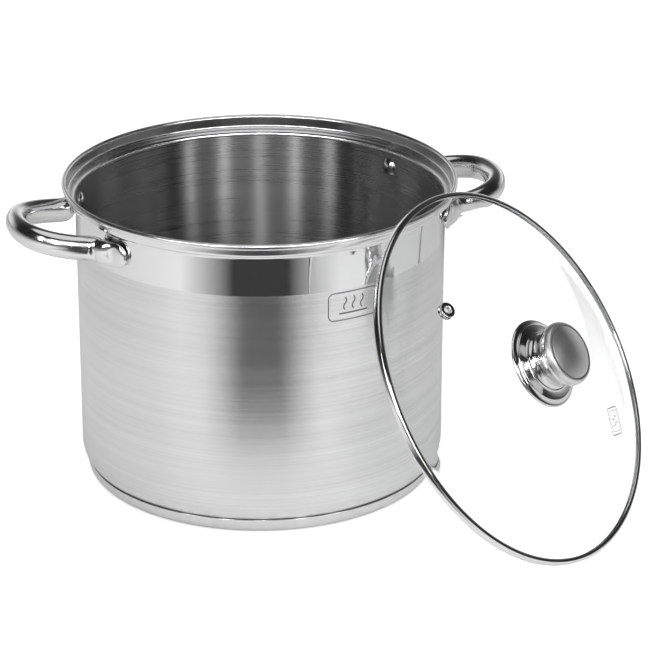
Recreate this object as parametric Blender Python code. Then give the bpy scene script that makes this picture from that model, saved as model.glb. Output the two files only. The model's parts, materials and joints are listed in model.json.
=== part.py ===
"""Water bath canner: a plain stainless stockpot, its flat jar rack and its glass lid, leaned on the pot.

Run with:  blender --background --python part.py
Metres, +Z up.  The origin is the centre of the base's underside; the two handles lie along X.
The lid is built flat in its own frame (+Z out of the knob) and hung on an empty that leans it on the rim.
"""

import math

import bmesh
import bpy
from mathutils import Matrix, Vector

# ---------------------------------------------------------------- driving dimensions (metres)
GAP = 0.0003               # air left between two pieces that touch

# pot shell
BODY_R = 0.1305            # outside radius of the straight wall
WALL = 0.0008              # sheet thickness
RIM_Z = 0.2194             # top of the rolled lip
SHELL_FLOOR_Z = 0.0052     # underside of the pressed shell
CORNER_R = 0.0180          # outside radius where wall turns into floor
SHOULDER_Z = 0.2055        # where the straight wall ends and the lid seat begins
STEP_R = 0.1364            # inside radius of the step that centres the lid
BEAD_HALF_W = 0.0017       # rolled lip, half its width
BEAD_HALF_H = 0.0021       # rolled lip, half its height

# encapsulated base
CAP_R = 0.1267             # outside radius of the base cap
CAP_TOP_Z = 0.0109         # height of its open edge
CAP_CORNER_R = 0.0080
CAP_SHEET = 0.0007
CORE_R = 0.1160            # aluminium heat spreader

# side handles: oval tube bent to a loop, swaged flat towards its two feet
HANDLE_REACH = 0.1750      # outermost point of the tube's centre line
HANDLE_HALF_W = 0.0402     # half the loop's width, centre line
HANDLE_POWER = 2.33        # how square the loop is (2 would be an ellipse)
HANDLE_ROOT = 0.1256       # where the loop's curve would start, inside the wall
HANDLE_LEG = 0.1370        # where the loop ends and its foot begins to turn outwards
HANDLE_Z = 0.1945          # height at the wall
HANDLE_RISE = 0.0070       # how much higher the outermost point is
TUBE_HALF_W = 0.0070
TUBE_HALF_H = 0.00875
TUBE_WALL = 0.0010
FOOT_BEND_R = 0.0110       # bend from the leg to the foot
FOOT_TURN = math.radians(72)
FOOT_HALF_W = 0.0052       # half thickness of the swaged tube end

# ears that close the tube ends and carry the rivets
EAR_AZ = math.radians(26)  # rivet, away from the handle's own direction
EAR_HALF_T = 0.0025
EAR_TIP_SHARE = 0.45       # thickness left at the very tip
EAR_ROUND = 0.0088         # rounded far end
EAR_SPIGOT = math.radians(18)  # how far the ear reaches into the tube's bend
RIVET_R = 0.0030
RIVET_HOLE_R = RIVET_R + GAP
RIVET_HEAD_R = 0.0065
RIVET_HEAD_H = 0.0026
RIVET_SEAT = 0.00125       # head's flat face, inside the wall's outer surface
RIVET_REACH = 0.0026       # shank beyond the wall's outer surface

# lid, in its own frame: Z = 0 is the middle of the glass edge
BAND_R = 0.1341
BAND_SHEET = 0.0006
BAND_FLANGE = 0.0049       # how far the band laps over the glass
GLASS_T = 0.0040
DOME_R = 0.3032            # outside radius of the glass's dome
DOME_EDGE_R = 0.1210       # where the dome would meet the flat edge
DOME_BLEND = 0.0040        # half width of the blend there
GLASS_BORE_R = 0.0045

VENT_R = 0.0830            # vent hole, distance from the knob's axis
VENT_AZ = math.radians(130.2)
VENT_HOLE_R = 0.0042
VENT_TUBE_R = 0.0039
VENT_BORE_R = 0.0024
VENT_FLANGE_R = 0.0056
VENT_LIP = 0.0009          # height of the eyelet's cupped flange
VENT_EDGE = 0.0004         # rounding of its edge
VENT_TAIL = 0.0020         # how far the tube passes the glass inside
VENT_COLLAR_T = 0.0010

# knob, heights in the lid's frame
FLANGE_Z = 0.0262          # edge of the base plate
FLANGE_R = 0.0312
KNOB_Z = 0.0323            # foot of the knob body
KNOB_WAIST_R = 0.0183
KNOB_HEAD_R = 0.0224
KNOB_HEAD_Z = 0.0478       # height of its widest circle
KNOB_FACE_R = 0.0196
KNOB_FACE_Z = 0.0526
KNOB_TOP_Z = 0.0563
KNOB_SHEET = 0.0008
KNOB_FOOT_FLARE = 0.0017   # how far the sleeve's foot spreads beyond the waist
KNOB_FOOT_H = 0.0014
KNOB_WAIST_H = 0.0042      # height of the waist above the foot
CAP_SKIRT = 0.0030         # skirt of the face's cap inside the sleeve

# the plate's turned steps, each radius measured in from its edge, each height up from its edge
PLATE_SEAT = 0.0027        # underside that rests on the gasket
PLATE_RIM_R = 0.0046       # where the rim turns down from the seat
PLATE_ROLL_R = 0.0012      # rolled edge
PLATE_STEP_IN = 0.0028
PLATE_STEP_R = 0.0009
PLATE_COVE_IN = 0.0075
PLATE_COVE_H = 0.0046
PLATE_TOP_IN = 0.0100

# gasket, washer, screw and moulded core of the knob
GASKET_BORE_R = 0.0060
GASKET_IN = 0.0055         # gasket's edge, in from the plate's
WASHER_R = 0.0110
WASHER_T = 0.0010
WASHER_EDGE_T = 0.0006
SCREW_R = 0.0025
SCREW_TOP_Z = 0.0440
SCREW_TIP = 0.0006
SCREW_HEAD_R = 0.0050
SCREW_HEAD_H = 0.0026
INSERT_DISC_R = 0.0160
INSERT_DISC_T = 0.0025
INSERT_POST_R = 0.0062
INSERT_POST_DROP = 0.0045  # post's end, below the edge of the face
INSERT_BORE_SPARE = 0.0006 # bore beyond the screw's tip

# how the lid leans: direction it faces, its slope, and what it touches
LEAN_AZ = math.radians(-51.45)
LEAN_SLOPE = math.radians(32.58)
LEAN_GAP = 0.00035

# jar rack on the pot's floor
RACK_R = 0.1120
RACK_TOP_Z = 0.0200
RACK_SHEET = 0.0008
RACK_BEND_R = 0.0030
RACK_HOLE_R = 0.0080
RACK_CENTRE_HOLE_R = 0.0150
RACK_HOLE_RINGS = ((0.044, 6), (0.070, 10), (0.096, 14))

# facets
SEG_BIG = 48
SEG_RACK = 40
SEG_KNOB = 28
SEG_SMALL = 18
SECTION = 10


# ---------------------------------------------------------------- helpers
def clear_scene():
    for thing in list(bpy.data.objects):
        bpy.data.objects.remove(thing, do_unlink=True)


def material(name, colour, roughness, metallic=1.0, transmission=0.0):
    mat = bpy.data.materials.new(name)
    mat.use_nodes = True
    shader = mat.node_tree.nodes["Principled BSDF"]
    shader.inputs["Base Color"].default_value = (*colour, 1.0)
    shader.inputs["Roughness"].default_value = roughness
    shader.inputs["Metallic"].default_value = metallic
    shader.inputs["Transmission Weight"].default_value = transmission
    mat.diffuse_color = (*colour, 1.0)
    return mat


def polished(name):
    return material(name, (0.78, 0.78, 0.78), 0.08)


def brushed(name):
    return material(name, (0.70, 0.70, 0.70), 0.30)


def finish(name, bm, mat, parent=None):
    bmesh.ops.remove_doubles(bm, verts=bm.verts, dist=1e-7)
    bmesh.ops.recalc_face_normals(bm, faces=bm.faces)
    mesh = bpy.data.meshes.new(name)
    bm.to_mesh(mesh)
    bm.free()
    mesh.materials.append(mat)
    obj = bpy.data.objects.new(name, mesh)
    bpy.context.collection.objects.link(obj)
    obj.parent = parent
    return obj


def arc(centre_r, centre_z, radius, start, end, steps):
    """Points on an arc in the (r, z) half plane; angles in degrees, both ends included."""
    angles = [math.radians(start + (end - start) * i / steps) for i in range(steps + 1)]
    return [(centre_r + radius * math.cos(a), centre_z + radius * math.sin(a)) for a in angles]


def lathe(name, profile, mat, segments=SEG_SMALL, closed=True, parent=None):
    """Turn an (r, z) outline about Z.  closed=False is for outlines that start and end on the axis."""
    bm = bmesh.new()
    verts = [bm.verts.new((r, 0.0, z)) for r, z in profile]
    edges = [bm.edges.new(pair) for pair in zip(verts, verts[1:])]
    if closed:
        edges.append(bm.edges.new((verts[-1], verts[0])))
    bmesh.ops.spin(bm, geom=verts + edges, cent=(0, 0, 0), axis=(0, 0, 1),
                   angle=2 * math.pi, steps=segments, use_merge=True)
    return finish(name, bm, mat, parent)


def ring_verts(bm, points):
    return [bm.verts.new(p) for p in points]


def bridge(bm, ring_a, ring_b):
    count = len(ring_a)
    for i in range(count):
        j = (i + 1) % count
        bm.faces.new((ring_a[i], ring_a[j], ring_b[j], ring_b[i]))


def cut(target, cutter):
    mod = target.modifiers.new("cut", "BOOLEAN")
    mod.operation = "DIFFERENCE"
    mod.solver = "EXACT"
    mod.object = cutter


def hide_cutter(obj):
    obj.hide_render = True
    obj.display_type = "WIRE"


def add_cylinder(bm, radius, start, end, segments=SEG_SMALL):
    """A closed cylinder between two points."""
    axis = Vector(end) - Vector(start)
    turn = Vector((0, 0, 1)).rotation_difference(axis).to_matrix().to_4x4()
    turn.translation = (Vector(start) + Vector(end)) / 2
    bmesh.ops.create_cone(bm, cap_ends=True, segments=segments, radius1=radius, radius2=radius,
                          depth=axis.length, matrix=turn)


# ---------------------------------------------------------------- pot
def shell_profile():
    """Outside from the floor's centre up to the lip, then back down the inside."""
    outer_step_r = STEP_R + WALL
    bend = (outer_step_r - BODY_R) / 2
    mid_r = BODY_R + bend
    step_z = SHOULDER_Z + 2 * bend
    corner_c = BODY_R - CORNER_R
    corner_z = SHELL_FLOOR_Z + CORNER_R
    bead_r = STEP_R + BEAD_HALF_W
    bead_z = RIM_Z - BEAD_HALF_H

    points = [(0.0, SHELL_FLOOR_Z)]
    points += arc(corner_c, corner_z, CORNER_R, -90, 0, 5)
    points += arc(mid_r, SHOULDER_Z, bend, 180, 90, 3)
    points += arc(mid_r, step_z, bend, -90, 0, 3)[1:]
    for degrees in range(-120, 181, 50):
        angle = math.radians(degrees)
        points.append((bead_r + BEAD_HALF_W * math.cos(angle), bead_z + BEAD_HALF_H * math.sin(angle)))
    points += arc(mid_r, step_z, bend - WALL, 0, -90, 3)
    points += arc(mid_r, SHOULDER_Z, bend + WALL, 90, 180, 3)[1:]
    points += arc(corner_c, corner_z, CORNER_R - WALL, 0, -90, 5)
    points.append((0.0, SHELL_FLOOR_Z + WALL))
    return points


def rivet_azimuths():
    """Name and azimuth of each of the four rivets."""
    return (("right_back", EAR_AZ), ("left_front", math.pi + EAR_AZ),
            ("left_back", math.pi - EAR_AZ), ("right_front", -EAR_AZ))


def make_rivet_holes():
    """Cutter for the four rivet holes in the wall and the blind holes in the ears."""
    bm = bmesh.new()
    for _, azimuth in rivet_azimuths():
        out = Vector((math.cos(azimuth), math.sin(azimuth), 0))
        lift = Vector((0, 0, HANDLE_Z))
        start = out * (BODY_R - 4 * WALL) + lift
        end = out * (BODY_R + RIVET_REACH + GAP) + lift
        add_cylinder(bm, RIVET_HOLE_R, start, end)
    cutter = finish("rivet_holes", bm, brushed("cutter"))
    hide_cutter(cutter)
    return cutter


def make_pot_shell(holes):
    shell = lathe("pot_shell", shell_profile(), brushed("pot_shell"), SEG_BIG, closed=False)
    cut(shell, holes)
    return shell


def make_base_cap():
    """Steel cup under the pot that holds the heat spreader."""
    corner_r = CAP_R - CAP_CORNER_R
    points = [(0.0, 0.0)]
    points += arc(corner_r, CAP_CORNER_R, CAP_CORNER_R, -90, 0, 4)
    points.append((CAP_R, CAP_TOP_Z))
    points.append((CAP_R - CAP_SHEET, CAP_TOP_Z))
    points += arc(corner_r, CAP_CORNER_R, CAP_CORNER_R - CAP_SHEET, 0, -90, 4)
    points.append((0.0, CAP_SHEET))
    return lathe("base_cap", points, brushed("base_cap"), SEG_BIG, closed=False)


def make_base_core():
    bottom = CAP_SHEET + GAP
    top = SHELL_FLOOR_Z - GAP
    chamfer = (top - bottom) / 4
    points = [(0.0, bottom), (CORE_R - chamfer, bottom), (CORE_R, bottom + chamfer),
              (CORE_R, top - chamfer), (CORE_R - chamfer, top), (0.0, top)]
    mat = material("base_core", (0.80, 0.81, 0.82), 0.45)
    return lathe("base_core", points, mat, SEG_BIG, closed=False)


# ---------------------------------------------------------------- handles
def loop_point(t):
    """Centre line of the loop at parameter t, 0 at the wall and pi/2 at the outermost point."""
    power = 2 / HANDLE_POWER
    out = HANDLE_ROOT + (HANDLE_REACH - HANDLE_ROOT) * math.sin(t) ** power
    side = HANDLE_HALF_W * math.cos(t) ** power
    return out, side


def foot_frame():
    """Parameter where the loop ends, and the start angle and centre of the foot's bend."""
    share = (HANDLE_LEG - HANDLE_ROOT) / (HANDLE_REACH - HANDLE_ROOT)
    t = math.asin(share ** (HANDLE_POWER / 2))
    out, side = loop_point(t)
    out_2, side_2 = loop_point(t + 0.01)
    start = math.atan2(side - side_2, out_2 - out)
    centre = (out + FOOT_BEND_R * math.sin(start), side + FOOT_BEND_R * math.cos(start))
    return t, start, centre


def foot_point(turn, centre):
    return centre[0] - FOOT_BEND_R * math.sin(turn), centre[1] - FOOT_BEND_R * math.cos(turn)


def tube_height(out):
    share = (out - HANDLE_ROOT) / (HANDLE_REACH - HANDLE_ROOT)
    return HANDLE_Z + HANDLE_RISE * max(0.0, share) ** 1.5


def foot_half_width(turn):
    """The tube flattens over the second half of its bend."""
    share = max(0.0, turn / FOOT_TURN - 0.4) / 0.6
    return TUBE_HALF_W + (FOOT_HALF_W - TUBE_HALF_W) * share


def half_handle():
    """(centre, half width) from the foot's end to the outermost point, side taken as +Y."""
    t_leg, start, centre = foot_frame()
    stations = []
    bend_steps = 5
    for i in range(bend_steps):
        turn = FOOT_TURN + (start - FOOT_TURN) * i / bend_steps
        out, side = foot_point(turn, centre)
        stations.append((Vector((out, side, tube_height(out))), foot_half_width(turn)))
    loop_steps = 7
    for i in range(loop_steps + 1):
        t = t_leg + (math.pi / 2 - t_leg) * i / loop_steps
        out, side = loop_point(t)
        stations.append((Vector((out, max(side, 0.0), tube_height(out))), TUBE_HALF_W))
    return stations


def section_ring(centre, normal, up, half_w, half_h, wall_r):
    """One oval section; points that would enter the pot's wall are laid against it instead."""
    points = []
    for k in range(SECTION):
        angle = 2 * math.pi * k / SECTION
        p = centre + normal * (half_w * math.cos(angle)) + up * (half_h * math.sin(angle))
        reach = math.hypot(p.x, p.y)
        if reach < wall_r:
            p.x *= wall_r / reach
            p.y *= wall_r / reach
        points.append(p)
    return points


def path_frames(centres):
    """Horizontal normal and up vector of each station along a centre line."""
    frames = []
    tangents = [b - a for a, b in zip(centres, centres[2:])]
    tangents.insert(0, 4 * centres[1] - 3 * centres[0] - centres[2])
    tangents.append(3 * centres[-1] - 4 * centres[-2] + centres[-3])
    for tangent in tangents:
        along = tangent.normalized()
        normal = along.cross(Vector((0, 0, 1))).normalized()
        frames.append((normal, normal.cross(along)))
    return frames


def make_handle(name, azimuth):
    half = half_handle()
    mirrored = [(Vector((c.x, -c.y, c.z)), w) for c, w in reversed(half[:-1])]
    stations = half + mirrored
    centres = [c for c, _ in stations]
    frames = path_frames(centres)
    bm = bmesh.new()
    outer, inner = [], []
    for (centre, half_w), (normal, up) in zip(stations, frames):
        wall_r = BODY_R + GAP
        outer.append(ring_verts(bm, section_ring(centre, normal, up, half_w, TUBE_HALF_H, wall_r)))
        inner.append(ring_verts(bm, section_ring(centre, normal, up, half_w - TUBE_WALL,
                                                 TUBE_HALF_H - TUBE_WALL, wall_r + TUBE_WALL)))
    for skin in (outer, inner):
        for ring_a, ring_b in zip(skin, skin[1:]):
            bridge(bm, ring_a, ring_b)
    for end in (0, -1):
        bridge(bm, outer[end], inner[end])
    handle = finish(name, bm, polished(name))
    handle.rotation_euler = (0, 0, azimuth)
    return handle


def ear_stations():
    """Spigot inside the tube's end, then the pad that follows the wall and ends round."""
    _, _, centre = foot_frame()
    play = TUBE_WALL + 2 * GAP
    rings = []
    beyond = 1.5 * GAP / FOOT_BEND_R
    for turn in (FOOT_TURN - EAR_SPIGOT, FOOT_TURN + beyond):
        out, side = foot_point(turn, centre)
        place = Vector((out, side, tube_height(out)))
        along = Vector((-math.cos(turn), math.sin(turn), 0))
        half_w = foot_half_width(min(turn, FOOT_TURN)) - play
        rings.append((place, along, half_w, TUBE_HALF_H - play))
    place, along = rings[-1][0], rings[-1][1]
    rings.append((place, along, FOOT_HALF_W, TUBE_HALF_H))
    start = math.atan2(place.y, place.x)
    round_angle = EAR_ROUND / BODY_R
    for share in (0.25, 0.5, 0.75, 1.0):
        azimuth = start + (EAR_AZ - start) * share
        half_t = FOOT_HALF_W + (EAR_HALF_T - FOOT_HALF_W) * share
        rings.append(wall_ring(azimuth, half_t, TUBE_HALF_H, place.z + (HANDLE_Z - place.z) * share))
    for degrees in (25, 45, 62, 76, 86):
        angle = math.radians(degrees)
        half_t = EAR_HALF_T * (EAR_TIP_SHARE + (1 - EAR_TIP_SHARE) * math.cos(angle))
        half_h = TUBE_HALF_H * math.cos(angle)
        rings.append(wall_ring(EAR_AZ + round_angle * math.sin(angle), half_t, half_h, HANDLE_Z))
    return rings


def wall_ring(azimuth, half_t, half_h, height):
    reach = BODY_R + GAP + half_t
    place = Vector((reach * math.cos(azimuth), reach * math.sin(azimuth), height))
    along = Vector((-math.sin(azimuth), math.cos(azimuth), 0))
    return place, along, half_t, half_h


def make_ear(name, azimuth, side, holes):
    """One ear; side is +1 or -1 for which foot of the loop it closes."""
    bm = bmesh.new()
    rings = []
    for place, along, half_w, half_h in ear_stations():
        place = Vector((place.x, place.y * side, place.z))
        along = Vector((along.x, along.y * side, 0))
        normal = along.cross(Vector((0, 0, 1)))
        points = section_ring(place, normal, Vector((0, 0, 1)), half_w, half_h, BODY_R + GAP)
        rings.append(ring_verts(bm, points))
    for ring_a, ring_b in zip(rings, rings[1:]):
        bridge(bm, ring_a, ring_b)
    bm.faces.new(rings[0])
    bm.faces.new(rings[-1])
    turn = Matrix.Rotation(azimuth, 3, "Z")
    bmesh.ops.rotate(bm, verts=bm.verts, cent=(0, 0, 0), matrix=turn)
    ear = finish(name, bm, polished(name))
    cut(ear, holes)
    return ear


def make_rivet(name, azimuth):
    """Dome head inside the pot, shank through the wall into the ear.  Local +Z points outwards."""
    under = -RIVET_SEAT
    dome_r = (RIVET_HEAD_R ** 2 + RIVET_HEAD_H ** 2) / (2 * RIVET_HEAD_H)
    half = math.degrees(math.asin(RIVET_HEAD_R / dome_r))
    dome = arc(0.0, under - RIVET_HEAD_H + dome_r, dome_r, -90, -90 + half, 5)
    points = dome + [(RIVET_R, under), (RIVET_R, RIVET_REACH), (0.0, RIVET_REACH)]
    rivet = lathe(name, points, polished(name), SEG_SMALL, closed=False)
    rivet.location = (BODY_R * math.cos(azimuth), BODY_R * math.sin(azimuth), HANDLE_Z)
    rivet.rotation_euler = (0, math.pi / 2, azimuth)
    return rivet


# ---------------------------------------------------------------- lid
def glass_top(r):
    """Height and slope of the glass's outer face at radius r."""
    flat = GLASS_T / 2
    base = math.sqrt(DOME_R ** 2 - DOME_EDGE_R ** 2) - flat
    inner, outer = DOME_EDGE_R - DOME_BLEND, DOME_EDGE_R + DOME_BLEND
    if r >= outer:
        return flat, 0.0
    if r > inner:
        bend = (math.sqrt(DOME_R ** 2 - inner ** 2) - base - flat) / (outer - inner) ** 2
        return flat + bend * (outer - r) ** 2, 2 * bend * (outer - r)
    drop = math.sqrt(DOME_R ** 2 - r ** 2)
    return drop - base, r / drop


def make_lid_glass(parent):
    edge = BAND_R - BAND_SHEET - GAP
    inner, outer = DOME_EDGE_R - DOME_BLEND, DOME_EDGE_R + DOME_BLEND
    radii = [GLASS_BORE_R + (inner - GLASS_BORE_R) * i / 6 for i in range(7)]
    radii += [DOME_EDGE_R, outer, edge]
    top, under = [], []
    for r in radii:
        height, slope = glass_top(r)
        tilt = math.atan(slope)
        top.append((r, height))
        under.append((r - GLASS_T * math.sin(tilt), height - GLASS_T * math.cos(tilt)))
    mat = material("lid_glass", (0.95, 0.97, 0.97), 0.02, 0.0, 1.0)
    glass = lathe("lid_glass", top + under[::-1], mat, SEG_BIG, parent=parent)
    bm = bmesh.new()
    add_cylinder(bm, VENT_HOLE_R, (0, 0, -2 * GLASS_T), (0, 0, 2 * GLASS_T))
    hole = finish("vent_hole", bm, mat, parent)
    place_on_glass(hole)
    hide_cutter(hole)
    cut(glass, hole)
    return glass


def place_on_glass(obj):
    """Stand an object on the vent's axis, square to the glass, its origin at mid thickness."""
    height, slope = glass_top(VENT_R)
    tilt = math.atan(slope)
    r = VENT_R - GLASS_T / 2 * math.sin(tilt)
    z = height - GLASS_T / 2 * math.cos(tilt)
    obj.location = (r * math.cos(VENT_AZ), r * math.sin(VENT_AZ), z)
    obj.rotation_euler = (0, tilt, VENT_AZ)


def make_lid_band(parent):
    """Steel channel rolled over the glass edge."""
    inner_r = BAND_R - BAND_FLANGE
    channel_r = BAND_R - BAND_SHEET
    channel_z = GLASS_T / 2 + GAP
    outer_z = channel_z + BAND_SHEET
    round_r = BAND_SHEET * 1.5
    points = [(inner_r, -outer_z)]
    points += arc(BAND_R - round_r, -outer_z + round_r, round_r, -90, 0, 2)
    points += arc(BAND_R - round_r, outer_z - round_r, round_r, 0, 90, 2)
    points += [(inner_r, outer_z), (inner_r, channel_z), (channel_r, channel_z),
               (channel_r, -channel_z), (inner_r, -channel_z)]
    return lathe("lid_band", points, polished("lid_band"), SEG_BIG, parent=parent)


def make_vent(parent):
    """Eyelet with a cupped flange outside, and the collar that holds it inside."""
    top = GLASS_T / 2 + GAP
    lip = top + VENT_LIP
    end = -GLASS_T / 2 - VENT_TAIL
    eyelet_points = [(VENT_BORE_R, end), (VENT_TUBE_R, end), (VENT_TUBE_R, top),
                     (VENT_FLANGE_R - VENT_EDGE, top), (VENT_FLANGE_R, top + VENT_EDGE),
                     (VENT_FLANGE_R - VENT_EDGE, lip + VENT_EDGE / 2), (VENT_TUBE_R, lip),
                     (VENT_BORE_R, lip - VENT_EDGE)]
    eyelet = lathe("vent_eyelet", eyelet_points, polished("vent_eyelet"), SEG_SMALL, parent=parent)
    place_on_glass(eyelet)
    inner_r = VENT_TUBE_R + GAP
    collar_top = -GLASS_T / 2 - GAP
    collar_end = collar_top - VENT_COLLAR_T
    collar_points = [(inner_r, collar_top), (inner_r, collar_end),
                     (VENT_FLANGE_R - VENT_EDGE, collar_end), (VENT_FLANGE_R, collar_top)]
    collar = lathe("vent_collar", collar_points, polished("vent_collar"), SEG_SMALL, parent=parent)
    place_on_glass(collar)


def make_knob_base(parent):
    """Stepped plate that the knob turns on."""
    seat_z = FLANGE_Z + PLATE_SEAT
    step_z = seat_z + PLATE_STEP_R
    top_z = KNOB_Z - GAP
    bore = SCREW_R + GAP
    rim_r = FLANGE_R - PLATE_RIM_R
    roll_r = FLANGE_R - PLATE_ROLL_R
    step_r = FLANGE_R - PLATE_STEP_IN - 2 * PLATE_STEP_R
    points = [(bore, seat_z), (rim_r, seat_z), (rim_r + PLATE_STEP_R, FLANGE_Z),
              (FLANGE_R - PLATE_ROLL_R / 2, FLANGE_Z)]
    points += arc(roll_r, FLANGE_Z + PLATE_ROLL_R, PLATE_ROLL_R, -30, 90, 3)
    points += [(FLANGE_R - PLATE_STEP_IN, seat_z)]
    points += arc(step_r, step_z, PLATE_STEP_R, 0, 90, 2)
    points += [(FLANGE_R - PLATE_COVE_IN, FLANGE_Z + PLATE_COVE_H),
               (FLANGE_R - PLATE_TOP_IN, top_z), (bore, top_z)]
    return lathe("knob_base", points, polished("knob_base"), SEG_KNOB, parent=parent)


def make_knob_gasket(parent):
    """Silicone pad between the glass and the plate; its underside follows the dome."""
    inner_r, outer_r = GASKET_BORE_R, FLANGE_R - GASKET_IN
    top_z = FLANGE_Z + PLATE_SEAT - GAP
    points = [(inner_r, top_z), (outer_r, top_z)]
    for share in (1.0, 0.66, 0.33, 0.0):
        r = inner_r + (outer_r - inner_r) * share
        points.append((r, glass_top(r)[0] + GAP))
    mat = material("knob_gasket", (0.75, 0.76, 0.76), 0.6, 0.0)
    return lathe("knob_gasket", points, mat, SEG_KNOB, parent=parent)


def under_face(r):
    """Height of the glass's inner face near the knob's axis."""
    return glass_top(r)[0] - GLASS_T


def washer_top():
    return under_face(WASHER_R) - 1.3 * GAP


def make_under_washer(parent):
    bore = SCREW_R + GAP
    top = washer_top()
    points = [(bore, top), (WASHER_R, top), (WASHER_R, top - WASHER_EDGE_T),
              (WASHER_R - WASHER_T, top - WASHER_T), (bore, top - WASHER_T)]
    return lathe("under_washer", points, brushed("under_washer"), SEG_SMALL, parent=parent)


def make_knob_screw(parent):
    """Pan-head screw from inside the lid up into the knob."""
    head_top = washer_top() - WASHER_T - GAP
    head_end = head_top - SCREW_HEAD_H
    points = [(0.0, head_end), (SCREW_HEAD_R * 0.55, head_end),
              (SCREW_HEAD_R * 0.9, head_top - SCREW_HEAD_H * 0.65),
              (SCREW_HEAD_R, head_top - SCREW_HEAD_H * 0.2), (SCREW_HEAD_R, head_top),
              (SCREW_R, head_top), (SCREW_R, SCREW_TOP_Z - SCREW_TIP),
              (SCREW_R - SCREW_TIP, SCREW_TOP_Z), (0.0, SCREW_TOP_Z)]
    return lathe("knob_screw", points, brushed("knob_screw"), SEG_SMALL, closed=False, parent=parent)


def knob_curve():
    """Outside of the turned knob, from its foot up to the rim of its face."""
    foot_r = KNOB_WAIST_R + KNOB_FOOT_FLARE
    waist_z = KNOB_Z + KNOB_WAIST_H
    points = [(foot_r, KNOB_Z), (foot_r - 0.6 * KNOB_FOOT_FLARE, KNOB_Z + KNOB_FOOT_H)]
    for share in (0.0, 0.25, 0.5, 0.75):
        swell = (1 - math.cos(math.pi * share)) / 2
        z = waist_z + (KNOB_HEAD_Z - waist_z) * share
        points.append((KNOB_WAIST_R + (KNOB_HEAD_R - KNOB_WAIST_R) * swell, z))
    for degrees in (0, 25, 50, 75):
        angle = math.radians(degrees)
        r = KNOB_FACE_R + (KNOB_HEAD_R - KNOB_FACE_R) * math.cos(angle)
        points.append((r, KNOB_HEAD_Z + (KNOB_FACE_Z - KNOB_HEAD_Z) * math.sin(angle)))
    points.append((KNOB_FACE_R, KNOB_FACE_Z))
    return points


def make_knob_shell(parent):
    """Drawn steel sleeve, open below and open at the face where the cap sits."""
    outside = knob_curve()
    inside = [(r - KNOB_SHEET, z) for r, z in outside]
    inside[-1] = (KNOB_FACE_R - KNOB_SHEET, KNOB_FACE_Z)
    return lathe("knob_shell", outside + inside[::-1], polished("knob_shell"), SEG_KNOB, parent=parent)


def make_knob_top_cap(parent):
    """Shallow satin dome with a short skirt inside the sleeve."""
    edge_r = KNOB_FACE_R - KNOB_SHEET - GAP
    rise = KNOB_TOP_Z - KNOB_FACE_Z
    dome_r = (edge_r ** 2 + rise ** 2) / (2 * rise)
    half = math.degrees(math.asin(edge_r / dome_r))
    outside = arc(0.0, KNOB_TOP_Z - dome_r, dome_r, 90, 90 - half, 5)
    inside = arc(0.0, KNOB_TOP_Z - dome_r, dome_r - KNOB_SHEET, 90 - half, 90, 5)
    skirt_z = KNOB_FACE_Z - CAP_SKIRT
    skirt = [(edge_r, skirt_z), (edge_r - KNOB_SHEET, skirt_z)]
    inside[0] = (edge_r - KNOB_SHEET, KNOB_FACE_Z - KNOB_SHEET)
    return lathe("knob_top_cap", outside + skirt + inside, brushed("knob_top_cap"), SEG_KNOB,
                 closed=False, parent=parent)


def make_knob_insert(parent):
    """Moulded core of the knob: a disc in the sleeve's foot and a post with the screw's blind bore."""
    bore = SCREW_R + GAP
    bottom = KNOB_Z + GAP
    disc_top = bottom + INSERT_DISC_T
    post_top = KNOB_FACE_Z - INSERT_POST_DROP
    bore_top = SCREW_TOP_Z + INSERT_BORE_SPARE
    points = [(0.0, bore_top), (bore, bore_top), (bore, bottom), (INSERT_DISC_R, bottom),
              (INSERT_DISC_R, disc_top), (INSERT_POST_R, disc_top), (INSERT_POST_R, post_top),
              (0.0, post_top)]
    mat = material("knob_insert", (0.05, 0.05, 0.05), 0.5, 0.0)
    return lathe("knob_insert", points, mat, SEG_SMALL, closed=False, parent=parent)


def lean_frame():
    """Empty that carries the lid: foot on the floor, inner face of the glass against the lip."""
    nose_w = BEAD_HALF_W * math.cos(LEAN_SLOPE)
    nose_h = BEAD_HALF_H * math.sin(LEAN_SLOPE)
    reach = GLASS_T / 2 + LEAN_GAP + math.hypot(nose_w, nose_h)
    bead_r = STEP_R + BEAD_HALF_W
    bead_z = RIM_Z - BEAD_HALF_H
    edge_z = GLASS_T / 2 + GAP + BAND_SHEET
    height = BAND_R * math.cos(LEAN_SLOPE) + edge_z * math.sin(LEAN_SLOPE)
    out = bead_r + (reach + (bead_z - height) * math.sin(LEAN_SLOPE)) / math.cos(LEAN_SLOPE)
    empty = bpy.data.objects.new("lid_frame", None)
    bpy.context.collection.objects.link(empty)
    empty.location = (out * math.cos(LEAN_AZ), out * math.sin(LEAN_AZ), height)
    empty.rotation_euler = (math.pi / 2 - LEAN_SLOPE, 0, LEAN_AZ + math.pi / 2)
    return empty


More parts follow.
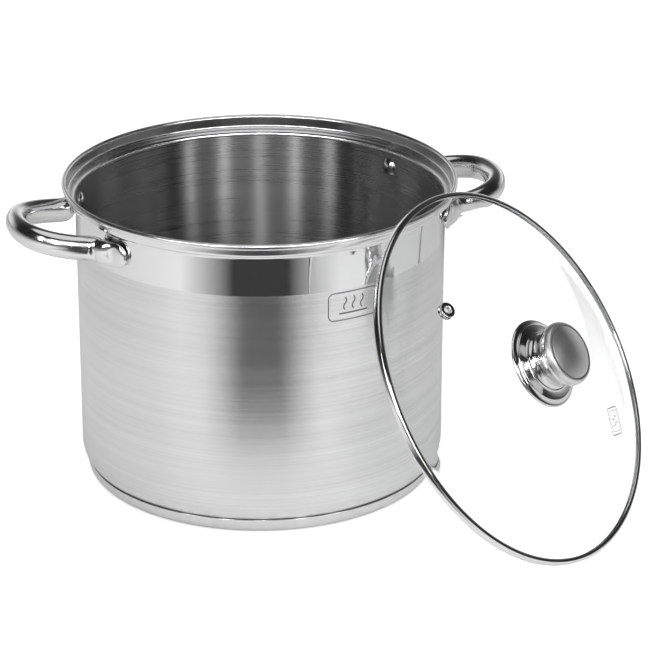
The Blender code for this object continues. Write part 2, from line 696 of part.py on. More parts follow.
# ---------------------------------------------------------------- rack
def make_jar_rack():
    """Stamped deck with a turned-down rim that keeps the jars off the pot's floor."""
    bottom = SHELL_FLOOR_Z + WALL + GAP
    under = RACK_TOP_Z - RACK_SHEET
    bend_r, bend_z = RACK_R - RACK_BEND_R, RACK_TOP_Z - RACK_BEND_R
    points = [(0.0, RACK_TOP_Z)]
    points += arc(bend_r, bend_z, RACK_BEND_R, 90, 0, 3)
    points += [(RACK_R, bottom), (RACK_R - RACK_SHEET, bottom)]
    points += arc(bend_r, bend_z, RACK_BEND_R - RACK_SHEET, 0, 90, 3)
    points.append((0.0, under))
    rack = lathe("jar_rack", points, brushed("jar_rack"), SEG_RACK, closed=False)
    bm = bmesh.new()
    below, above = under - RACK_BEND_R / 2, RACK_TOP_Z + RACK_BEND_R / 2
    add_cylinder(bm, RACK_CENTRE_HOLE_R, (0, 0, below), (0, 0, above))
    for ring_r, count in RACK_HOLE_RINGS:
        for i in range(count):
            angle = 2 * math.pi * (i + 0.5) / count
            x, y = ring_r * math.cos(angle), ring_r * math.sin(angle)
            add_cylinder(bm, RACK_HOLE_R, (x, y, below), (x, y, above), SECTION)
    holes = finish("rack_holes", bm, brushed("cutter"))
    hide_cutter(holes)
    cut(rack, holes)
    return rack


# ---------------------------------------------------------------- assembly
def make_pot():
    holes = make_rivet_holes()
    make_pot_shell(holes)
    make_base_cap()
    make_base_core()
    make_handle("handle_right", 0.0)
    make_handle("handle_left", math.pi)
    for name, azimuth in rivet_azimuths():
        handle_az = 0.0 if name.startswith("right") else math.pi
        side = 1 if math.sin(azimuth - handle_az) > 0 else -1
        make_ear("ear_" + name, handle_az, side, holes)
        make_rivet("rivet_" + name, azimuth)


def make_lid():
    frame = lean_frame()
    make_lid_glass(frame)
    make_lid_band(frame)
    make_vent(frame)
    make_knob_base(frame)
    make_knob_gasket(frame)
    make_under_washer(frame)
    make_knob_screw(frame)
    make_knob_shell(frame)
    make_knob_top_cap(frame)
    make_knob_insert(frame)


def main():
    clear_scene()
    make_pot()
    make_lid()
    make_jar_rack()


main()
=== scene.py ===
# %% [markdown]
# # A stainless water bath canner
#
# A water bath canner is a tall stockpot with a jar rack on its floor and a glass lid.  This lesson gives the
# plain frame of the pot its looks.  Turned parts are spun from outlines, repeated parts come from Geometry
# Nodes, and every finish is a small network of procedural nodes that reads the piece's own coordinates.

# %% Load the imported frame
import json
import math

import bmesh
import bpy
from mathutils import Matrix, Vector


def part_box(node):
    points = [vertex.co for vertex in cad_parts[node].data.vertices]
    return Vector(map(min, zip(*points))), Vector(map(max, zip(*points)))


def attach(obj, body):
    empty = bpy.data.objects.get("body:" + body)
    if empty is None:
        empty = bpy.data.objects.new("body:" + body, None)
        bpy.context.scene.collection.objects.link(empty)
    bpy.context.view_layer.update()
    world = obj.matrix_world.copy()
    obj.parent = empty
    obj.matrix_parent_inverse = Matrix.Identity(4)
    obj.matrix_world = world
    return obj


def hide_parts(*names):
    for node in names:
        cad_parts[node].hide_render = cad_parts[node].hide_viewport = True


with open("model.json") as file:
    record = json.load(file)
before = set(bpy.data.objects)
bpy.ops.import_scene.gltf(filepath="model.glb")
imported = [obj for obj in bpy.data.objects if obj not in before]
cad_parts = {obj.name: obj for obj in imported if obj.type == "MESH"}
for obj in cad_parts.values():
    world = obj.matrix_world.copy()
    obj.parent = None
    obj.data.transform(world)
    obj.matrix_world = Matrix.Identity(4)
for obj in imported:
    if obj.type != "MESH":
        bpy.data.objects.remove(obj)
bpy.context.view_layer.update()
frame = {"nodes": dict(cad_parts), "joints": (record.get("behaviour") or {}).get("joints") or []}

# %% [markdown]
# ## Driving sizes
#
# A sheet metal worker starts from a few sizes and works the rest out.  The outermost sizes come from the frame,
# so the finished pot always fits it.  The others are sizes that the frame's boxes can't tell, such as the sheet's
# thickness and the radius where the wall turns into the floor.

# %% Sizes of the pot
pot_low, pot_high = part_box("pot_shell")
cup_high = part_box("base_cap")[1]

LIP_R = pot_high.x            # outside of the rolled lip
RIM_Z = pot_high.z
FLOOR_Z = pot_low.z           # underside of the drawn shell
CUP_R = cup_high.x            # outside of the base cup
CUP_TOP_Z = cup_high.z

SHEET = 0.0008
BODY_R = 0.1305               # straight wall
CORNER_R = 0.0180
SHOULDER_Z = 0.2055           # where the wall starts to widen into the lid's seat
MIRROR_Z = 0.1793             # the mirror finish starts here
BEAD_HALF_W = 0.0017
BEAD_HALF_H = 0.0021
STEP_R = LIP_R - 2 * BEAD_HALF_W
GAP = 0.0003
print(f"pot: {2000 * BODY_R:.0f} mm wall, {2000 * LIP_R:.1f} mm over the lip, {1000 * RIM_Z:.1f} mm high")

# %% [markdown]
# ## The lid's own frame
#
# The lid leans against the pot, so its round parts are awkward to model where they stand.  They are modelled
# flat, around their own axis, and a single matrix then carries each finished mesh to its place.  The knob's
# joint in the frame gives the centre and the axis.

# %% Find the lid's place
knob_joint = next(joint for joint in frame["joints"] if joint["name"] == "knob_turn")
lid_centre = Vector(knob_joint["pos_m"])
lid_axis = Vector(knob_joint["axis"]).normalized()
lid_across = Vector((0, 0, 1)).cross(lid_axis).normalized()
lid_up = lid_axis.cross(lid_across)

LID_PLACE = Matrix((lid_across, lid_up, lid_axis)).transposed().to_4x4()
LID_PLACE.translation = lid_centre
LID_TURN = LID_PLACE.to_euler()
print("lid centre:", [round(v, 4) for v in lid_centre], "axis:", [round(v, 3) for v in lid_axis])

# %% [markdown]
# ## Shader helpers
#
# A finish is written as a list of nodes.  `add` makes one node, sets its choices, and either wires or fills each
# of its inputs, so a network reads from top to bottom like a recipe.

# %% Helpers for node networks
def add(tree, kind, inputs=None, **choices):
    node = tree.nodes.new(kind)
    for name, choice in choices.items():
        setattr(node, name, choice)
    for name, value in (inputs or {}).items():
        if isinstance(value, bpy.types.NodeSocket):
            tree.links.new(value, node.inputs[name])
        else:
            node.inputs[name].default_value = value
    return node


def maths(tree, operation, first, second=0.0, clamp=False):
    node = add(tree, "ShaderNodeMath", {0: first, 1: second}, operation=operation, use_clamp=clamp)
    return node.outputs[0]


def spread(tree, value, low, high, to_low=0.0, to_high=1.0):
    """Map a range of a value to another, held at both ends."""
    node = add(tree, "ShaderNodeMapRange", {"Value": value, "From Min": low, "From Max": high,
                                            "To Min": to_low, "To Max": to_high})
    return node.outputs["Result"]


def blend_colours(tree, share, first, second):
    node = add(tree, "ShaderNodeMix", {0: share, 6: first, 7: second}, data_type="RGBA")
    return node.outputs[2]


def grey(value, tint=0.0):
    """A steel grey; tint makes it a little cooler."""
    return (value, value, value * (1 + tint), 1.0)


def open_group(name, inputs, outputs):
    """An empty shader group with named sockets, and its two end nodes."""
    group = bpy.data.node_groups.new(name, "ShaderNodeTree")
    for label, kind, value in inputs:
        socket = group.interface.new_socket(label, in_out="INPUT", socket_type=kind)
        if value is not None:
            socket.default_value = value
    for label in outputs:
        group.interface.new_socket(label, in_out="OUTPUT", socket_type="NodeSocketFloat")
    return group, group.nodes.new("NodeGroupInput"), group.nodes.new("NodeGroupOutput")


# %% [markdown]
# ## Brush lines
#
# A satin pot is turned against an abrasive belt, which leaves fine lines that run round the wall and rings on
# every flat face.  On the wall a line's place depends on the height alone, and on a flat face on the distance
# from the axis, so their sum serves both.  The noise is stretched along the line by scaling the other
# coordinates down.  Wider, weaker bands come from the belt's uneven pressure.

# %% The brush line group
def brush_line_group():
    inputs = [("Vector", "NodeSocketVector", None), ("Line width", "NodeSocketFloat", 0.0006),
              ("Band width", "NodeSocketFloat", 0.008)]
    group, start, end = open_group("Brush lines", inputs, ["Lines", "Bands", "Patches"])
    parts = add(group, "ShaderNodeSeparateXYZ", {"Vector": start.outputs["Vector"]})
    square_x = maths(group, "MULTIPLY", parts.outputs[0], parts.outputs[0])
    square_y = maths(group, "MULTIPLY", parts.outputs[1], parts.outputs[1])
    radius = maths(group, "SQRT", maths(group, "ADD", square_x, square_y))
    place = maths(group, "ADD", radius, parts.outputs[2])
    for label, width, along in (("Lines", "Line width", 3.0), ("Bands", "Band width", 1.5)):
        height = maths(group, "DIVIDE", place, start.outputs[width])
        x = maths(group, "MULTIPLY", parts.outputs[0], along)
        y = maths(group, "MULTIPLY", parts.outputs[1], along)
        vector = add(group, "ShaderNodeCombineXYZ", {0: x, 1: y, 2: height})
        noise = add(group, "ShaderNodeTexNoise", {"Vector": vector.outputs[0], "Scale": 1.0, "Detail": 3.0,
                                                  "Roughness": 0.62})
        group.links.new(noise.outputs["Fac"], end.inputs[label])
    cloud = add(group, "ShaderNodeTexNoise", {"Vector": start.outputs["Vector"], "Scale": 16.0, "Detail": 2.0})
    group.links.new(cloud.outputs["Fac"], end.inputs["Patches"])
    return group


BRUSH_LINES = brush_line_group()
print("group:", BRUSH_LINES.name)

# %% [markdown]
# ## Handling marks
#
# Polished steel is never perfect.  Hands leave soft smears that dull the reflection a little, a cloth leaves
# hairline scratches in a few directions, and the polishing wheel leaves a very slight waviness.  The group puts
# out one mask for each, and a material decides how strong they are.

# %% The handling mark group
def handling_group():
    inputs = [("Vector", "NodeSocketVector", None), ("Smear size", "NodeSocketFloat", 0.03),
              ("Scratch size", "NodeSocketFloat", 0.012)]
    group, start, end = open_group("Handling marks", inputs, ["Smears", "Scratches", "Waviness"])
    vector = start.outputs["Vector"]
    smear_scale = maths(group, "DIVIDE", 1.0, start.outputs["Smear size"])
    smear = add(group, "ShaderNodeTexNoise", {"Vector": vector, "Scale": smear_scale, "Detail": 4.0,
                                              "Distortion": 0.6})
    group.links.new(spread(group, smear.outputs["Fac"], 0.48, 0.72), end.inputs["Smears"])
    scratch_scale = maths(group, "DIVIDE", 1.0, start.outputs["Scratch size"])
    found = None
    for turn in ((0.3, 0.5, 0.2), (1.1, 0.2, 1.4), (0.7, 1.3, 2.3)):
        turned_way = add(group, "ShaderNodeMapping", {"Vector": vector, "Rotation": turn,
                                                      "Scale": (1.0, 14.0, 14.0)})
        noise = add(group, "ShaderNodeTexNoise", {"Vector": turned_way.outputs[0], "Scale": scratch_scale,
                                                  "Detail": 1.0})
        off_middle = maths(group, "ABSOLUTE", maths(group, "SUBTRACT", noise.outputs["Fac"], 0.5))
        hair = spread(group, off_middle, 0.0, 0.012, 1.0, 0.0)
        found = hair if found is None else maths(group, "MAXIMUM", found, hair)
    gate = spread(group, smear.outputs["Fac"], 0.45, 0.60)
    group.links.new(maths(group, "MULTIPLY", found, gate), end.inputs["Scratches"])
    wave = add(group, "ShaderNodeTexNoise", {"Vector": vector, "Scale": 38.0, "Detail": 1.0})
    group.links.new(wave.outputs["Fac"], end.inputs["Waviness"])
    return group


HANDLING = handling_group()
print("group:", HANDLING.name)

# %% [markdown]
# ## Wear near a level
#
# A pot is dragged over cookers and shelves, so wear gathers near the bottom edge and fades upwards.  This group
# gives a broken mask that is full at one height and gone a little above it.

# %% The wear group
def wear_group():
    inputs = [("Vector", "NodeSocketVector", None), ("Level", "NodeSocketFloat", 0.0),
              ("Reach", "NodeSocketFloat", 0.01)]
    group, start, end = open_group("Wear near a level", inputs, ["Worn"])
    parts = add(group, "ShaderNodeSeparateXYZ", {"Vector": start.outputs["Vector"]})
    above = maths(group, "SUBTRACT", parts.outputs[2], start.outputs["Level"])
    share = maths(group, "DIVIDE", above, start.outputs["Reach"])
    near = spread(group, share, 0.0, 1.0, 1.0, 0.0)
    chips = add(group, "ShaderNodeTexNoise", {"Vector": start.outputs["Vector"], "Scale": 210.0, "Detail": 4.0})
    broken = spread(group, chips.outputs["Fac"], 0.42, 0.62)
    group.links.new(maths(group, "MULTIPLY", near, broken), end.inputs["Worn"])
    return group


WEAR = wear_group()
print("group:", WEAR.name)


# %% [markdown]
# ## Starting a material
#
# Each material reads Object coordinates.  A part of the leaning lid first passes them through a Mapping node,
# which undoes the lean, so that its rings still run round its own axis.

# %% Start a material
def start_material(name, on_lid=False, **plain):
    """A new material, its tree, its shader and its coordinates; plain values go on the shader's sockets."""
    material = bpy.data.materials.new(name)
    material.use_nodes = True
    tree = material.node_tree
    shader = tree.nodes["Principled BSDF"]
    for label, value in plain.items():
        shader.inputs[label.replace("_", " ")].default_value = value
    coordinates = add(tree, "ShaderNodeTexCoord").outputs["Object"]
    if on_lid:
        back = add(tree, "ShaderNodeMapping", {"Vector": coordinates, "Location": lid_centre,
                                               "Rotation": LID_TURN}, vector_type="TEXTURE")
        coordinates = back.outputs[0]
    return material, tree, shader, coordinates


def place_group(tree, group, inputs):
    return add(tree, "ShaderNodeGroup", inputs, node_tree=group)


def feed(tree, shader, **sockets):
    for label, value in sockets.items():
        tree.links.new(value, shader.inputs[label.replace("_", " ")])


def bump(tree, height, depth, strength=1.0):
    node = add(tree, "ShaderNodeBump", {"Height": height, "Distance": depth, "Strength": strength})
    return node.outputs[0]


# %% [markdown]
# ## Satin steel
#
# The outside wall, the inside and the jar rack are satin.  Under brushed lines a highlight smears across the
# lines, so a lamp becomes a tall streak on the wall.  The shader's anisotropy does exactly that; a quarter turn
# points the smear up the wall.  The lines also change the colour and the depth of the surface a little.  The
# inside gets much darker greys than the outside wall: a painted shade for the pot's dark interior.

# %% Make the satin finishes
def satin_steel(name, light, dark, rough, smear, line_width=0.0006, worn=0.0, on_lid=False):
    material, tree, shader, where = start_material(name, on_lid, Metallic=1.0, Anisotropic=smear,
                                                   Anisotropic_Rotation=0.25)
    lines = place_group(tree, BRUSH_LINES, {"Vector": where, "Line width": line_width})
    marks = place_group(tree, HANDLING, {"Vector": where, "Smear size": 0.05})
    wear = place_group(tree, WEAR, {"Vector": where, "Level": CUP_TOP_Z, "Reach": 0.012})
    line = spread(tree, lines.outputs["Lines"], 0.30, 0.70)
    band = spread(tree, lines.outputs["Bands"], 0.30, 0.70)
    mix = maths(tree, "ADD", maths(tree, "MULTIPLY", line, 0.55), maths(tree, "MULTIPLY", band, 0.45))
    colour = blend_colours(tree, mix, grey(dark), grey(light, 0.004))
    scuffed = maths(tree, "MULTIPLY", wear.outputs["Worn"], worn)
    colour = blend_colours(tree, scuffed, colour, grey(dark * 0.8))
    roughness = maths(tree, "ADD", spread(tree, mix, 0.0, 1.0, -0.02, 0.02), rough)
    cloud = spread(tree, lines.outputs["Patches"], 0.3, 0.7, -0.012, 0.012)
    roughness = maths(tree, "ADD", maths(tree, "ADD", roughness, cloud),
                      maths(tree, "MULTIPLY", marks.outputs["Smears"], 0.006))
    normal = bump(tree, lines.outputs["Lines"], 0.00002, 0.35)
    feed(tree, shader, Base_Color=colour, Roughness=roughness, Normal=normal)
    return material


WALL_SATIN = satin_steel("wall_satin_steel", 0.86, 0.69, 0.24, 0.80, line_width=0.0011, worn=0.3)
# The inside is the same steel as the wall, but its greys are much darker: painted shade for the pot's dark
# interior.
INSIDE_STEEL_PAINTED_SHADE = satin_steel("inside_steel_painted_shade", 0.50, 0.45, 0.28, 1.0)
CUP_SATIN = satin_steel("base_cup_steel", 0.80, 0.74, 0.20, 0.6, line_width=0.0009, worn=0.25)
RACK_SATIN = satin_steel("rack_satin_steel", 0.70, 0.58, 0.26, 0.5, line_width=0.0010)
KNOB_SATIN = satin_steel("knob_satin_steel", 0.76, 0.68, 0.40, 0.2, line_width=0.00035, on_lid=True)
print("satin finishes:", 5)


# %% [markdown]
# ## Mirror steel
#
# The band under the rim, the handles, the lid's band and the knob are buffed to a mirror.  A mirror has almost
# no colour of its own, so what shows is the room.  Its truth lies in the faults: a slight waviness that bends
# straight reflections, soft smears, and hairline scratches that catch the light.

# %% Make the mirror finishes
def mirror_steel(name, light=0.80, rough=0.035, wave=0.00004, smear=0.0, on_lid=False):
    material, tree, shader, where = start_material(name, on_lid, Metallic=1.0, Anisotropic=smear)
    marks = place_group(tree, HANDLING, {"Vector": where, "Smear size": 0.028, "Scratch size": 0.010})
    lines = place_group(tree, BRUSH_LINES, {"Vector": where, "Line width": 0.0004, "Band width": 0.005})
    scratch = marks.outputs["Scratches"]
    smear = marks.outputs["Smears"]
    colour = blend_colours(tree, maths(tree, "MULTIPLY", scratch, 0.25), grey(light, 0.004), grey(light * 0.82))
    roughness = maths(tree, "ADD", maths(tree, "MULTIPLY", smear, 0.05), rough)
    roughness = maths(tree, "ADD", roughness, maths(tree, "MULTIPLY", scratch, 0.10))
    fine = maths(tree, "MULTIPLY", lines.outputs["Lines"], 0.02)
    height = maths(tree, "ADD", marks.outputs["Waviness"], fine)
    feed(tree, shader, Base_Color=colour, Roughness=roughness, Normal=bump(tree, height, wave, 0.6))
    return material


BAND_MIRROR = mirror_steel("band_mirror_steel", 0.82, 0.03)
RIM_STEEL = mirror_steel("rolled_rim_steel", 0.82, 0.17, smear=0.9)
HANDLE_MIRROR = mirror_steel("handle_mirror_steel", 0.80, 0.13)
LID_MIRROR = mirror_steel("lid_mirror_steel", 0.82, 0.09, on_lid=True)
KNOB_MIRROR = mirror_steel("knob_polished_steel", 0.72, 0.12, wave=0.00001, on_lid=True)
print("mirror finishes:", 5)

# %% [markdown]
# ## The other materials
#
# The heat spreader inside the base is sawn aluminium plate.  The lid is tempered soda glass: clear, with a
# coating of faint water marks.  A shadow ray passes it freely, because a real pane hardly darkens the table.
# Under the knob lies a milky silicone pad, and the knob's core is a black moulded resin with a fine grain.

# %% Make the glass, the rubber, the resin and the aluminium
def clear_glass():
    material, tree, shader, where = start_material("lid_clear_glass", True, Metallic=0.0, IOR=1.5,
                                                   Transmission_Weight=1.0)
    shader.inputs["Base Color"].default_value = (0.985, 0.992, 0.99, 1.0)
    marks = place_group(tree, HANDLING, {"Vector": where, "Smear size": 0.045, "Scratch size": 0.02})
    roughness = maths(tree, "MULTIPLY", marks.outputs["Smears"], 0.02)
    feed(tree, shader, Roughness=roughness, Normal=bump(tree, marks.outputs["Waviness"], 0.00001, 0.3))
    passing = add(tree, "ShaderNodeBsdfTransparent", {"Color": (0.94, 0.95, 0.95, 1.0)})
    path = add(tree, "ShaderNodeLightPath")
    mixed = add(tree, "ShaderNodeMixShader", {0: path.outputs["Is Shadow Ray"], 1: shader.outputs[0],
                                              2: passing.outputs[0]})
    tree.links.new(mixed.outputs[0], tree.nodes["Material Output"].inputs["Surface"])
    return material


def grained(name, light, dark, rough, size, depth, metallic=0.0, on_lid=False):
    """A plain material with a fine two-tone grain."""
    material, tree, shader, where = start_material(name, on_lid, Metallic=metallic)
    grain = add(tree, "ShaderNodeTexNoise", {"Vector": where, "Scale": 1 / size, "Detail": 5.0})
    cloud = add(tree, "ShaderNodeTexNoise", {"Vector": where, "Scale": 0.1 / size, "Detail": 2.0})
    marks = place_group(tree, HANDLING, {"Vector": where})
    tone = maths(tree, "MULTIPLY", maths(tree, "ADD", grain.outputs["Fac"], cloud.outputs["Fac"]), 0.5)
    colour = blend_colours(tree, spread(tree, tone, 0.35, 0.65), dark, light)
    roughness = maths(tree, "ADD", maths(tree, "MULTIPLY", marks.outputs["Smears"], 0.12), rough)
    normal = bump(tree, grain.outputs["Fac"], depth, 0.5)
    feed(tree, shader, Base_Color=colour, Roughness=roughness, Normal=normal)
    return material


GLASS = clear_glass()
SILICONE = grained("milky_silicone", grey(0.62), grey(0.52), 0.42, 0.0012, 0.00003, on_lid=True)
RESIN = grained("black_knob_resin", grey(0.035), grey(0.018), 0.38, 0.0006, 0.00003, on_lid=True)
ALUMINIUM = grained("sawn_aluminium", grey(0.78), grey(0.66), 0.36, 0.0008, 0.00003, metallic=1.0)
ETCHED = grained("etched_steel_mark", grey(0.17), grey(0.11), 0.55, 0.0005, 0.00001, metallic=0.6)
FROSTED = grained("frosted_glass_mark", grey(0.26), grey(0.20), 0.7, 0.0005, 0.00001, on_lid=True)
print("other materials:", 6)

# %% [markdown]
# ## Turning an outline
#
# Most of this pot was spun on a lathe or a press, so most pieces are an outline turned about an axis.  The
# outline is a list of radius and height pairs in which round stretches are true arcs.  A point on the axis
# becomes a single vertex, which closes the pole, and the last ring joins the first, so no seam is left open.

# %% Helpers for turned pieces
def arc(centre_r, centre_z, radius, start, end, steps=8):
    """Points on an arc in the (r, z) half plane; angles in degrees, both ends included."""
    angles = [math.radians(start + (end - start) * i / steps) for i in range(steps + 1)]
    return [(centre_r + radius * math.cos(a), centre_z + radius * math.sin(a)) for a in angles]


def as_object(name, bm, materials, place=None, sharp=38):
    """Close the bmesh into an object at the origin, with its place in its mesh."""
    bmesh.ops.remove_doubles(bm, verts=bm.verts, dist=1e-7)
    bmesh.ops.recalc_face_normals(bm, faces=bm.faces)
    mesh = bpy.data.meshes.new(name)
    bm.to_mesh(mesh)
    bm.free()
    if place is not None:
        mesh.transform(place)
    mesh.shade_smooth()
    mesh.set_sharp_from_angle(angle=math.radians(sharp))
    for material in materials:
        mesh.materials.append(material)
    piece = bpy.data.objects.new(name, mesh)
    bpy.context.scene.collection.objects.link(piece)
    return piece


def turn_outline(bm, outline, turns, closed, zones=None):
    rings = []
    for r, z in outline:
        count = turns if r > 1e-7 else 1
        angles = [2 * math.pi * i / turns for i in range(count)]
        rings.append([bm.verts.new((r * math.cos(a), r * math.sin(a), z)) for a in angles])
    pairs = list(zip(rings, rings[1:]))
    if closed:
        pairs.append((rings[-1], rings[0]))
    for index, (low, high) in enumerate(pairs):
        for i in range(turns):
            j = (i + 1) % turns
            corners = (low[i % len(low)], low[j % len(low)], high[j % len(high)], high[i % len(high)])
            face = bm.faces.new(tuple(dict.fromkeys(corners)))
            face.material_index = zones[index] if zones else 0


def turned(name, outline, materials, turns=192, closed=True, place=None, zones=None, sharp=38):
    bm = bmesh.new()
    turn_outline(bm, outline, turns, closed, zones)
    return as_object(name, bm, materials, place, sharp)


def settle(piece, body, slot, *nodes):
    """Hand a finished piece to the frame: the body it rides on and the nodes it stands for; the slot is not used.
    """
    if not piece.data.polygons:
        raise RuntimeError(f"{piece.name} came out empty")
    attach(piece, body)
    if nodes:
        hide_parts(*nodes)
    print(f"{piece.name}: {len(piece.data.polygons)} faces on {body}")


# %% [markdown]
# ## The pot's body
#
# The body is one sheet, drawn deep in a press.  Near the top the wall swings out to a ledge, rises as a short
# step that centres the lid, and ends in a rolled lip that hides the cut edge.  Each stretch of the outline names
# its finish: satin below, a mirror band under the shoulder, a rim that is smooth but slightly rippled by the
# rolling wheels, and satin again inside, in darker greys that paint the shade of the pot's interior.  The
# finishes meet at a sharp line, where the buffing wheel stops.

# %% Turn the pot's body
SATIN_OUT, MIRROR, RIM, SATIN_IN = 0, 1, 2, 3


def body_runs():
    """Stretches of the sheet's outline with their finishes, from the floor's centre up and back down inside."""
    bend = (STEP_R + SHEET - BODY_R) / 2
    mid_r = BODY_R + bend
    step_z = SHOULDER_Z + 2 * bend
    corner_r, corner_z = BODY_R - CORNER_R, FLOOR_Z + CORNER_R
    bead_r, bead_z = STEP_R + BEAD_HALF_W, RIM_Z - BEAD_HALF_H
    turns = [math.radians(degrees) for degrees in range(-125, 182, 17)]
    bead = [(bead_r + BEAD_HALF_W * math.cos(a), bead_z + BEAD_HALF_H * math.sin(a)) for a in turns]
    outside = [(0.0, FLOOR_Z)] + arc(corner_r, corner_z, CORNER_R, -90, 0, 16)
    shoulder = arc(mid_r, SHOULDER_Z, bend, 180, 90, 8) + arc(mid_r, step_z, bend, -90, 0, 8)[1:]
    ledge = arc(mid_r, step_z, bend - SHEET, 0, -90, 8) + arc(mid_r, SHOULDER_Z, bend + SHEET, 90, 180, 8)[1:]
    inside = arc(corner_r, corner_z, CORNER_R - SHEET, 0, -90, 16) + [(0.0, FLOOR_Z + SHEET)]
    return [(SATIN_OUT, outside + [(BODY_R, MIRROR_Z)]), (MIRROR, shoulder), (RIM, bead + ledge),
            (SATIN_IN, inside)]


def turn_body():
    outline, zones = [], []
    for zone, points in body_runs():
        outline += points
        zones += [zone] * len(points)
    finishes = [WALL_SATIN, BAND_MIRROR, RIM_STEEL, INSIDE_STEEL_PAINTED_SHADE]
    return turned("pot_body", outline, finishes, 256, False, zones=zones[1:])


settle(turn_body(), "pot", "steel_satin", "pot_shell")

# %% [markdown]
# ## The encapsulated base
#
# A cup of steel is brazed under the pot and holds an aluminium plate that spreads the heat.  What shows is the
# fine dark seam between the cup's edge and the rounded wall.  The cup's edge is rounded, and its underside has
# two shallow rings that stop it from bulging when it is hot.

# %% Turn the base cup
CUP_CORNER_R = 0.0080
CUP_SHEET = 0.0007
RING_DEPTH = 0.00025
CENTRE_DISH_R = 0.0180     # flat of the shallow dish in the middle
CENTRE_DISH_EDGE = 0.0010
GROOVE_STARTS = (0.0620, 0.0980)
GROOVE_W = 0.0030
GROOVE_EDGE = 0.0006


def cup_outline():
    corner_r = CUP_R - CUP_CORNER_R
    edge_r = CUP_SHEET / 2
    points = [(0.0, RING_DEPTH), (CENTRE_DISH_R, RING_DEPTH), (CENTRE_DISH_R + CENTRE_DISH_EDGE, 0.0)]
    for start in GROOVE_STARTS:
        end = start + GROOVE_W
        points += [(start, 0.0), (start + GROOVE_EDGE, RING_DEPTH), (end - GROOVE_EDGE, RING_DEPTH), (end, 0.0)]
    points += arc(corner_r, CUP_CORNER_R, CUP_CORNER_R, -90, 0, 14)
    points += arc(CUP_R - edge_r, CUP_TOP_Z - edge_r, edge_r, 0, 180, 8)
    points += arc(corner_r, CUP_CORNER_R, CUP_CORNER_R - CUP_SHEET, 0, -90, 10)
    points.append((0.0, CUP_SHEET))
    return points


settle(turned("base_cup", cup_outline(), [CUP_SATIN], 256, False, sharp=30), "pot", "steel_satin", "base_cap")

core = frame["nodes"]["base_core"]
core.data.materials.clear()
core.data.materials.append(ALUMINIUM)
print("heat spreader:", core.name)

# %% [markdown]
# ## Geometry Nodes from a script
#
# The handles follow a path, the rivets repeat round the pot, and the rack's holes repeat in rings.  Geometry
# Nodes suit all three: a small tree holds the rule, and its named inputs hold the sizes.  `run_tree` gives a
# tree its inputs by socket identifier before Blender first evaluates it, then keeps the result as a plain mesh.

# %% Helpers for Geometry Nodes
def open_tree(name, inputs):
    """An empty geometry tree with its geometry sockets and named inputs, and its two end nodes."""
    tree = bpy.data.node_groups.new(name, "GeometryNodeTree")
    tree.interface.new_socket("Geometry", in_out="INPUT", socket_type="NodeSocketGeometry")
    for label, kind in inputs:
        tree.interface.new_socket(label, in_out="INPUT", socket_type=kind)
    tree.interface.new_socket("Geometry", in_out="OUTPUT", socket_type="NodeSocketGeometry")
    return tree, tree.nodes.new("NodeGroupInput"), tree.nodes.new("NodeGroupOutput")


def close_tree(tree, start, end, geometry):
    real = add(tree, "GeometryNodeRealizeInstances", {"Geometry": geometry})
    painted = add(tree, "GeometryNodeSetMaterial", {"Geometry": real.outputs[0],
                                                    "Material": start.outputs["Material"]})
    tree.links.new(painted.outputs[0], end.inputs["Geometry"])


def socket_id(tree, label):
    return next(item.identifier for item in tree.interface.items_tree
                if item.name == label and item.in_out == "INPUT")


def keep_result(piece):
    """Replace a piece's mesh by what its modifier makes, and drop the modifier."""
    seen = piece.evaluated_get(bpy.context.evaluated_depsgraph_get())
    made = bpy.data.meshes.new_from_object(seen)
    piece.modifiers.clear()
    piece.data = made
    return made


def run_tree(name, mesh, tree, values, sharp=38):
    """Run a tree on a starting mesh and keep what it makes as a plain mesh with no modifier."""
    piece = bpy.data.objects.new(name, mesh)
    bpy.context.scene.collection.objects.link(piece)
    modifier = piece.modifiers.new("make", "NODES")
    modifier.node_group = tree
    for label, value in values.items():
        modifier[socket_id(tree, label)] = value
    made = keep_result(piece)
    made.name = name
    made.shade_smooth()
    made.set_sharp_from_angle(angle=math.radians(sharp))
    return piece


def points_mesh(name, points, edges=(), **attributes):
    """A starting mesh of bare points; each attribute holds one value for every point."""
    mesh = bpy.data.meshes.new(name)
    mesh.from_pydata(points, list(edges), [])
    for label, values in attributes.items():
        kind = "FLOAT" if isinstance(values[0], float) else "FLOAT_VECTOR"
        attribute = mesh.attributes.new(label, kind, "POINT")
        field = "value" if kind == "FLOAT" else "vector"
        attribute.data.foreach_set(field, values if kind == "FLOAT" else [x for v in values for x in v])
    return mesh


# %% [markdown]
# ## The side handles
#
# Each handle is an oval tube bent to a loop.  The loop's centre line is a superellipse, squarer than an ellipse,
# that rises a little outwards, and near the pot it turns outwards along the wall.  There the tube is swaged,
# which is squeezed flatter.  The tree sweeps an oval along the path and then squeezes each section by the
# path's own `squeeze` value.  Points that would enter the wall are laid against it.

# %% The handle's path
HANDLE_REACH = 0.1750         # outermost point of the centre line
HANDLE_HALF_W = 0.0402
HANDLE_POWER = 2.33
HANDLE_ROOT = 0.1256
HANDLE_LEG = 0.1370
HANDLE_Z = 0.1945
HANDLE_RISE = 0.0070
TUBE_HALF_W = 0.0070
TUBE_HALF_H = 0.00875
FOOT_BEND_R = 0.0110
FOOT_TURN = math.radians(72)
FOOT_HALF_W = 0.0052


def loop_point(t):
    """Centre line at t: 0 at the wall, pi/2 at the outermost point."""
    power = 2 / HANDLE_POWER
    out = HANDLE_ROOT + (HANDLE_REACH - HANDLE_ROOT) * math.sin(t) ** power
    return out, HANDLE_HALF_W * math.cos(t) ** power


